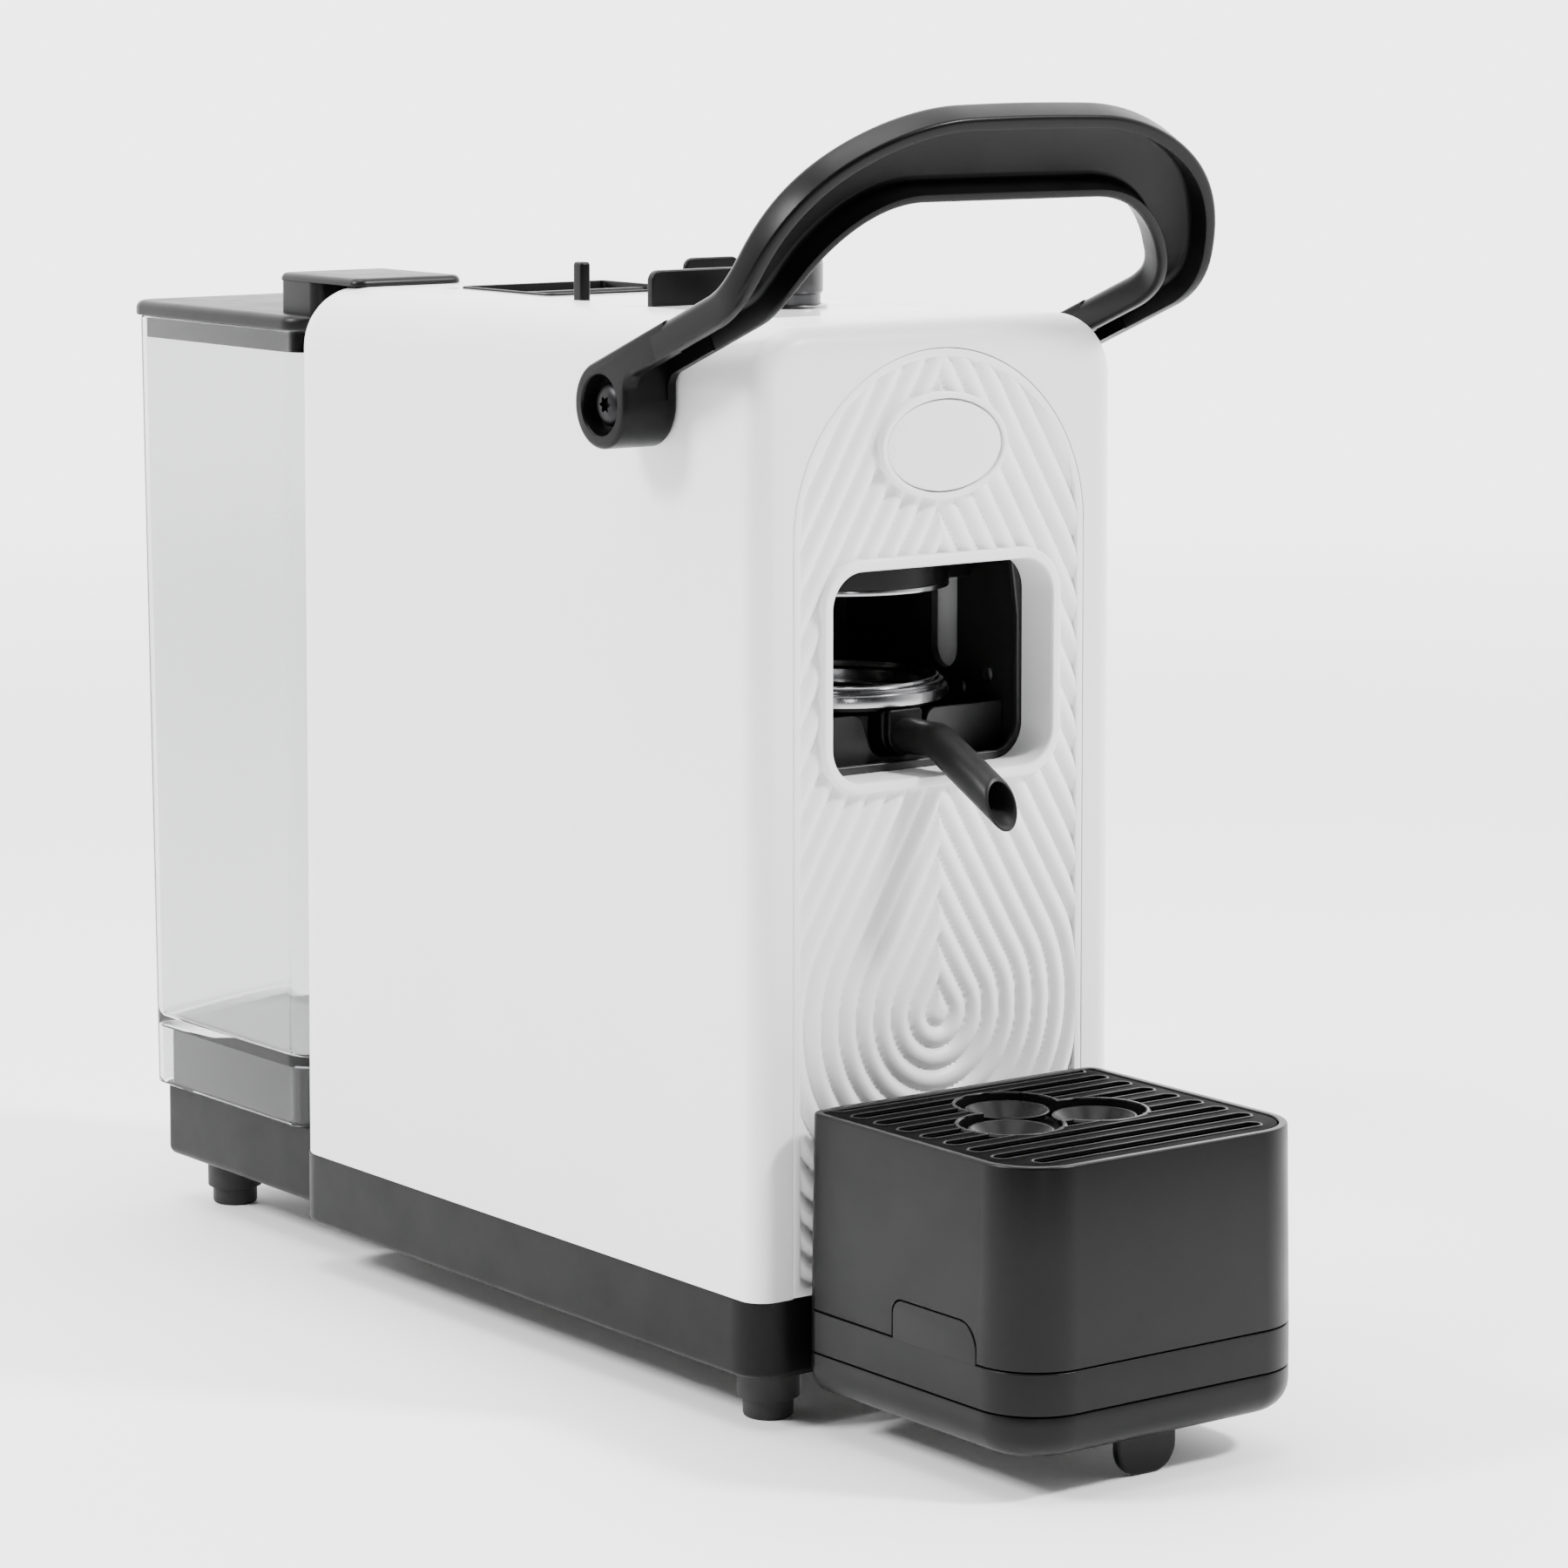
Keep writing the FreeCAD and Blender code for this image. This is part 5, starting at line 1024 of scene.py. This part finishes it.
def build_feet():
    """Four stepped rubber feet."""
    profile = [(0, 0.0), (FOOT_TIP - 1.0, 0.0), (FOOT_TIP - 0.3, 0.3), (FOOT_TIP, 1.0),
               (FOOT_TIP, FOOT_STEP - 1.2), (FOOT_TIP + 0.1, FOOT_STEP - 0.3),
               (FOOT_TIP + 0.5, FOOT_STEP), (FOOT_TOP - 0.5, FOOT_STEP),
               (FOOT_TOP - 0.1, FOOT_STEP + 0.2), (FOOT_TOP, FOOT_STEP + 0.6),
               (FOOT_TOP, BASE_Z0 - 0.4), (FOOT_TOP + 0.5, BASE_Z0 + 0.2), (0, BASE_Z0 + 0.2)]
    feet = [lathe(profile, (x, y, 0), steps=64) for x, y in FEET]
    add("feet", join(*feet), "foot_rubber", ["feet"])


def build_inlet():
    """The appliance inlet at the back, with its three blades."""
    y1 = REAR_Y1 + 0.4
    body = soft(rect(-INLET_W, INLET_W, *INLET_Z, 1.5), "XZ", y1 - 22.0, y1, 0.0, 0.6)
    mouth = mirrored([(11.5, 18.2, 1.0), (11.5, 29.0, 1.0), (6.5, 34.4, 1.0)])
    cup = prism(mouth, "XZ", y1 - 15.0, y1 + 1.0)
    blades = [block(x - 1.0, x + 1.0, y1 - 16.0, y1 - 1.9, z, z + 4.0, 0.4)
              for x, z in ((-7.0, 22.0), (7.0, 22.0), (0.0, 27.0))]
    add("mains_inlet", carve(body, cup), "black_satin", ["mains_inlet"], bevel=0.3)
    add("inlet_blades", join(*blades), "screen_steel", bevel=0.2)


# ---- top of the casing
def build_top():
    """The plate let into the top, its tray and the three uprights."""
    top = CASING_Z1
    plate = carve(block(-INSERT_W, INSERT_W, INSERT_Y[0], INSERT_Y[1], top - 2.0, top),
                  block(-TRAY_W, TRAY_W, TRAY_Y[0], TRAY_Y[1], top - 5.0, top + 1.0, 3.0),
                  drum(BUTTON_R + 0.5, (0, BUTTON_Y, 0), top - 8.0, top + 1.0))
    add("top_insert", plate, "white_gloss", ["top_insert"], bevel=0.3, segments=3)
    outer = rect(-TRAY_W + 0.3, TRAY_W - 0.3, TRAY_Y[0] + 0.3, TRAY_Y[1] - 0.3, 2.7)
    levels = [(0.0, top - 20.0), (0.0, top + 0.2), (0.1, top + 0.45), (0.35, top + 0.6), (0.75, top + 0.6),
              (1.0, top + 0.45), (1.1, top + 0.2), (1.3, top - 18.0), (1.8, top - 18.4)]
    tray = stack(outer, "XY", levels)
    bar = soft(rect(*TRAY_BAR_Y, top - 8.0, top - 0.4, 0.9), "YZ", -TRAY_W + 1.0, TRAY_W - 1.0)
    add("top_tray", join(tray, bar), "black_satin", ["top_tray"])
    for node in ("rack_front_plate", "rack_rear_plate", "rack_fin"):
        x0, x1 = side(node, LOW, X), side(node, HIGH, X)
        y0, y1 = side(node, LOW, Y), side(node, HIGH, Y)
        z1 = side(node, HIGH, Z)
        if node == "rack_fin":
            shape = soft(rect(x0, x1, y0, y1, 0.9), "XY", top - 0.3, z1, 0.0, 0.9)
        else:
            outline = [(x0, top - 0.3, 0), (x1, top - 0.3, 0), (x1, z1, 3.0), (x0, z1, 3.0)]
            shape = soft(outline, "XZ", y0, y1, 0.6, 0.6)
        add(node, shape, "black_satin", [node])


def build_button():
    """The round button and the chrome collar round it."""
    top = CASING_Z1
    z1 = side("brew_button", HIGH, Z)
    low = top + COLLAR_T + BUTTON_TRAVEL + 0.2
    knob = [(0, top - 9.6), (3.0, top - 9.6), (3.0, top - 4.0), (BUTTON_R - 0.7, top - 4.0),
            (BUTTON_R - 0.7, low - 0.4), (BUTTON_R - 0.3, low), (BUTTON_R, low + 0.4),
            (BUTTON_R, z1 - 1.6), (BUTTON_R - 0.15, z1 - 0.8), (BUTTON_R - 0.6, z1 - 0.25),
            (BUTTON_R - 1.3, z1), (BUTTON_R - 2.4, z1), (BUTTON_R - 2.9, z1 - 0.2), (0, z1 - 0.5)]
    add("brew_button", lathe(knob, (0, BUTTON_Y, 0), steps=128), "button_satin", ["brew_button"],
        body="button")
    collar = [(BUTTON_R - 0.2, top - 0.2), (BUTTON_R - 0.2, top + 0.7), (BUTTON_R + 0.1, top + 1.0),
              (BUTTON_R + 0.8, top + 1.0), (BUTTON_R + 1.2, top + 0.8), (BUTTON_R + 1.4, top + 0.3),
              (BUTTON_R + 1.4, top - 0.2)]
    add("button_collar", lathe(collar, (0, BUTTON_Y, 0), steps=128), "chrome_trim", ["button_collar"])


# ---- water tank
def taper(low, high, share):
    """A value part of the way from the tank's foot to its top."""
    return low + (high - low) * share


def tank_rings(levels):
    """Rings of the tank's tapered form: levels are (inset, height)."""
    rings = []
    for by, z in levels:
        share = (z - TANK_SKIRT_Z) / (TANK_TOP - TANK_SKIRT_Z)
        half = taper(TANK_FOOT_W, TANK_W, share) - by
        y0 = taper(TANK_FOOT_Y[0], TANK_Y[0], share) + by
        y1 = taper(TANK_FOOT_Y[1], TANK_Y[1], share) - by
        flat = rounded(rect(-half, half, y0, y1, TANK_R - by), 6.0)
        rings.append([Vector((p.x, p.y, z)) for p in flat])
    return rings


def build_tank():
    """The clear tank with its raised floor."""
    t = TANK_WALL
    levels = [(t + 2.0, FLOOR_Z), (t + 0.5, FLOOR_Z - 0.15), (t, FLOOR_Z - 0.6), (t, TANK_SKIRT_Z + 0.3),
              (t - 0.3, TANK_SKIRT_Z), (0.3, TANK_SKIRT_Z), (0.0, TANK_SKIRT_Z + 0.3),
              (0.0, TANK_TOP - 0.4), (0.4, TANK_TOP), (t - 0.4, TANK_TOP), (t, TANK_TOP - 0.4),
              (t, FLOOR_Z + 5.0), (t + 0.4, FLOOR_Z + 3.6), (t + 1.6, FLOOR_Z + 2.7),
              (t + 3.0, FLOOR_Z + 2.4)]
    add("water_tank", loft(tank_rings(levels)), "clear_tank", ["water_tank"], body="tank")


def build_lid():
    """The lid with the band that drops into the tank, and the raised cap that reaches over the casing."""
    outer, inner = TANK_WALL + 0.4, TANK_WALL + 2.4
    low, high = LID_Z[0] - 7.0, LID_Z[0] + 1.0
    lid = soft(rect(-LID_W, LID_W, *LID_Y, 9.0), "XY", *LID_Z, 0.5, 2.5)
    band = loft(tank_rings([(outer, low), (outer, high), (inner, high), (inner, low)]), closed=True)
    add("tank_lid", join(lid, band), "lid_grey", ["tank_lid"], body="lid")
    x0, x1 = BRIDGE_X
    y0, y1 = BRIDGE_Y
    bridge = join(soft(rect(x0, x1, y0, y1, 4.0), "XY", CASING_Z1 + 0.2, BRIDGE_TOP, 0.3, 2.0),
                  block(x0 + 0.4, x1 - 0.4, LID_Y[0] + 0.7, y1 - 0.4, LID_Z[1] - 0.5, CASING_Z1 + 0.9, 3.6))
    add("lid_bridge", bridge, "lid_grey", ["lid_bridge"], body="lid")


# ---- drip tower
def tower(by=0.0):
    """The tower's outline, drawn in by a distance."""
    front, rear = TOWER_FRONT_R, TOWER_REAR_R
    corners = [(-TOWER_W, TOWER_Y[0], front), (TOWER_W, TOWER_Y[0], front), (TOWER_W, TOWER_Y[1], rear),
               (-TOWER_W, TOWER_Y[1], rear)]
    return inset(corners, by)


def tab(grow):
    """The side tab's outline in (y, z)."""
    return [(TAB_Y[0] - grow, SEAM_HIGH - 4.0, 0), (TAB_Y[1] + grow, SEAM_HIGH - 4.0, 0),
            (TAB_Y[1] + grow, TAB_TOP + grow, 4.0), (TAB_Y[0] - grow, TAB_TOP + grow, 7.0)]


def build_container():
    """The cup that holds the drips, notched for the tabs below."""
    wall, draft = TOWER_WALL, TOWER_DRAFT
    low = SEAM_HIGH + SEAM_GAP / 2
    levels = [(0.35, low), (0.1, low + 0.1), (0.0, low + 0.4), (draft, TOWER_TOP - 0.7),
              (draft + 0.1, TOWER_TOP - 0.3), (draft + 0.4, TOWER_TOP), (draft + wall - 0.4, TOWER_TOP),
              (draft + wall - 0.1, TOWER_TOP - 0.2), (draft + wall, TOWER_TOP - 0.6),
              (draft + wall, TOWER_TOP - 8.0), (wall + 2.0, TOWER_TOP - 8.0), (wall + 2.0, low + 6.0),
              (wall + 3.0, low + 3.6), (wall + 5.0, low + 3.0)]
    cup = stack(tower(), "XY", levels, 4.0)
    notches = [prism(tab(SEAM_GAP), "YZ", s * (TOWER_W - 2.2), s * (TOWER_W + 1.0)) for s in (-1, 1)]
    add("drip_container", carve(cup, *notches), "tower_black", ["drip_container"], body="container",
        bevel=0.25, segments=3)


def build_tower():
    """The band with its side tabs and its tongue into the casing, and the foot with its leg."""
    half_gap = SEAM_GAP / 2
    band = soft(tower(), "XY", SEAM_LOW + half_gap, SEAM_HIGH - half_gap, 0.35, 0.35, step_deg=4.0)
    inner, outer = TOWER_W - 2.0, TOWER_W - 0.02
    tabs = [soft(tab(0.0), "YZ", inner, outer, 0.0, 0.3), soft(tab(0.0), "YZ", -outer, -inner, 0.3, 0.0)]
    core = prism(tower(1.5), "XY", SEAM_LOW - 1.0, SEAM_HIGH + 1.0)
    tongue = soft(rect(-17.0, 17.0, TOWER_Y[1] - 4.0, 10.0, 3.0), "XY", 26.0, 29.0, 0.3, 0.3)
    add("tower_band", join(band, tongue, core, *tabs), "tower_black", ["tower_band"], body="tower")
    seam = SEAM_LOW - half_gap
    levels = rim(0.0, TOWER_BOTTOM, 8.0, 1)[1:] + [(0.0, seam - 0.35), (0.1, seam - 0.1), (0.35, seam)]
    leg = soft(mirrored([(LEG_W, 0.0, 7.5), (LEG_W, TOWER_BOTTOM + 1.0, 0)]), "XZ", *LEG_Y, 0.8, 0.8)
    add("tower_foot", join(stack(tower(), "XY", levels, 4.0), leg), "tower_black", ["tower_foot_cap"],
        body="tower")


def pocket(radius, z):
    """The three-lobed outline round the cups, at a height."""
    middle = Vector((0.0, sum(y for _, y in CUPS) / len(CUPS)))
    points = []
    for t in turns(180):
        way = Vector((cos(t), sin(t)))
        reach = radius - 1.8
        for x, y in CUPS:
            to = Vector((x, y)) - middle
            along = to.dot(way)
            gap = radius * radius - (to.length_squared - along * along)
            if gap > 0.0:
                reach = max(reach, along + sqrt(gap))
        points.append(Vector((middle.x + way.x * reach, middle.y + way.y * reach, z)))
    return points


def build_grid():
    """The slotted plate with raised slot rims, and the three cups in their dish."""
    z1 = GRID_TOP
    z0 = z1 - GRID_T
    by = TOWER_WALL + TOWER_DRAFT + 0.3
    plate = soft(tower(by), "XY", z0, z1, 0.0, 0.5, step_deg=4.0)
    first = (TOWER_Y[0] + TOWER_Y[1]) / 2 + 3.5 + GRID_PITCH * (GRID_SLOTS - 1) / 2
    pocket_r = CUP_R + 2.4
    slots, lips = [], []
    r = GRID_SLOT / 2
    out = r + GRID_LIP
    for i in range(GRID_SLOTS):
        y = first - i * GRID_PITCH
        half = GRID_SHORT if i == GRID_SLOTS - 1 else GRID_LONG
        slots.append(prism(rect(-half, half, y - r, y + r, r - 0.01), "XY", z0 - 1.0, z1 + 1.0, 15.0))
        edge = rect(-half - GRID_LIP, half + GRID_LIP, y - out, y + out, out - 0.01)
        lips.append(stack(edge, "XY", [(0.0, z1 - 0.2), (0.06, z1 + 0.1), (0.25, z1 + 0.27), (0.5, z1 + 0.27),
                                       (0.7, z1 + 0.1), (0.8, z1 - 0.6)], 10.0, closed=True))
    sheet = carve(plate, join(*slots))
    sheet = carve(sheet, loft([pocket(pocket_r, z0 - 2.0), pocket(pocket_r, z1 + 2.0)]))
    ridges = carve(join(*lips), loft([pocket(pocket_r + 0.05, z0 - 2.0), pocket(pocket_r + 0.05, z1 + 2.0)]))
    levels = [(pocket_r + 1.4, GRID_FLOOR), (pocket_r + 1.4, z1 - 0.35), (pocket_r + 0.9, z1 + 0.2),
              (pocket_r + 0.3, z1 + 0.25), (pocket_r, z1 - 0.1), (pocket_r - 0.1, GRID_FLOOR + 2.4),
              (pocket_r - 0.9, GRID_FLOOR + 1.6)]
    dish = loft([pocket(radius, z) for radius, z in levels])
    cups = []
    for x, y in CUPS:
        wall = [(8.2, GRID_FLOOR + 0.4), (CUP_R - 0.35, CUP_TOP - 0.5), (CUP_R + 0.1, CUP_TOP - 0.25),
                (CUP_R + 0.15, CUP_TOP), (CUP_R - 0.1, CUP_TOP + 0.15), (CUP_R - 0.6, CUP_TOP + 0.1),
                (CUP_R - 1.0, CUP_TOP - 0.3), (6.8, GRID_FLOOR + 2.2), (6.4, GRID_FLOOR + 0.4)]
        cups.append(lathe(wall, (x, y, 0), steps=96))
    skirt = stack(tower(by), "XY", [(0.0, TOWER_TOP - 7.9), (0.0, z0 + 0.5), (2.0, z0 + 0.5),
                                    (2.0, TOWER_TOP - 7.9)], 4.0, closed=True)
    # the plate takes the darker black, which is painted shade
    add("drip_grid", join(sheet, skirt), "tower_black", ["drip_grid"], body="grid", look=GRID_PAINTED_SHADE_BLACK,
        bevel=0.18)
    add("grid_ridges", ridges, "tower_black", body="grid", look=RIDGE_BLACK)
    add("grid_cups", join(dish, *cups), "tower_black", body="grid", look=RIDGE_BLACK)


# ---- camera, light and floor, in metres
CAMERA_AT = (-0.8780, -1.2335 + (FRONT + 0.123), 0.3924)
CAMERA_YAW = radians(36.63)
CAMERA_PITCH = radians(-4.91)
LENS = 120.39
SHIFT = (-0.0017, -0.2320)
SENSOR = 36.0
WORLD_WAY = (0.6, 0.8, 0.0)
WORLD_SPAN = (-0.85, 1.0)
WORLD_STRENGTH = (0.0, 4.2)
# name, place, side of the square and power of each lamp
LAMPS = (("left", (-1.8, 0.5, 1.7), 0.6, 82.0), ("front", (1.0, -1.45, 1.9), 0.3, 86.0),
         ("top", (-0.2, 0.1, 2.2), 1.2, 42.0), ("strip", (-0.95, -2.2, 0.4), 0.2, 2.0))
LAMP_AIM = (0.0, 0.0, 0.15)
FLOOR_HALF = 4.0
FLOOR_FADE = (0.6, 2.4)
FLOOR_SHADES = ((0.9, 0.9, 0.9), (0.92, 0.92, 0.92))
FLOOR_ROUGH = 0.7


def build_world():
    """A bright backdrop behind the machine that falls off towards the viewer's side."""
    world = bpy.data.worlds.new("studio")
    world.use_nodes = True
    nodes, links = world.node_tree.nodes, world.node_tree.links
    where = nodes.new("ShaderNodeTexCoord")
    toward = nodes.new("ShaderNodeVectorMath")
    toward.operation = "DOT_PRODUCT"
    toward.inputs[1].default_value = WORLD_WAY
    links.new(where.outputs["Generated"], toward.inputs[0])
    strength = remap(nodes, links, toward.outputs["Value"], WORLD_SPAN, WORLD_STRENGTH, "SMOOTHSTEP")
    links.new(strength, nodes["Background"].inputs["Strength"])
    nodes["Background"].inputs["Color"].default_value = (1.0, 1.0, 1.0, 1.0)
    bpy.context.scene.world = world


def build_camera():
    """The photograph's own view."""
    camera = put("camera", bpy.data.cameras.new("camera"))
    camera.data.lens = LENS
    camera.data.sensor_width = SENSOR
    camera.data.shift_x, camera.data.shift_y = SHIFT
    camera.location = CAMERA_AT
    camera.rotation_euler = (pi / 2 + CAMERA_PITCH, 0.0, -CAMERA_YAW)
    bpy.context.scene.camera = camera


def build_floor():
    """A pale floor that fades into the backdrop far from the machine."""
    bm = bmesh.new()
    bmesh.ops.create_grid(bm, x_segments=8, y_segments=8, size=FLOOR_HALF)
    floor = put("floor", to_data("floor", bm))
    material, nodes, links, bsdf = shader("pale_floor")
    shade = tint(nodes, links, noise(nodes, links, 3.0, 2.0), *FLOOR_SHADES)
    links.new(shade, bsdf.inputs["Base Color"])
    bsdf.inputs["Roughness"].default_value = FLOOR_ROUGH
    where = nodes.new("ShaderNodeTexCoord")
    reach = nodes.new("ShaderNodeVectorMath")
    reach.operation = "LENGTH"
    links.new(where.outputs["Object"], reach.inputs[0])
    cover = remap(nodes, links, reach.outputs["Value"], FLOOR_FADE, (1.0, 0.0), "SMOOTHSTEP")
    links.new(cover, bsdf.inputs["Alpha"])
    floor.data.materials.append(material)


def build_lamps():
    """Square soft lamps, all aimed at the machine's middle."""
    for name, at, size, power in LAMPS:
        lamp = put(name, bpy.data.lights.new(name, "AREA"))
        lamp.data.shape = "SQUARE"
        lamp.data.size = size
        lamp.data.energy = power
        lamp.location = at
        lamp.rotation_euler = (Vector(LAMP_AIM) - Vector(at)).to_track_quat("-Z", "Y").to_euler()


build_casing()
build_panel()
build_badge()
build_bezel()
build_group()
build_chamber()
build_holder()
build_spout()
build_lever()
build_screws()
build_base()
build_feet()
build_inlet()
build_top()
build_button()
build_tank()
build_lid()
build_container()
build_tower()
build_grid()
build_camera()
build_floor()
build_world()
build_lamps()
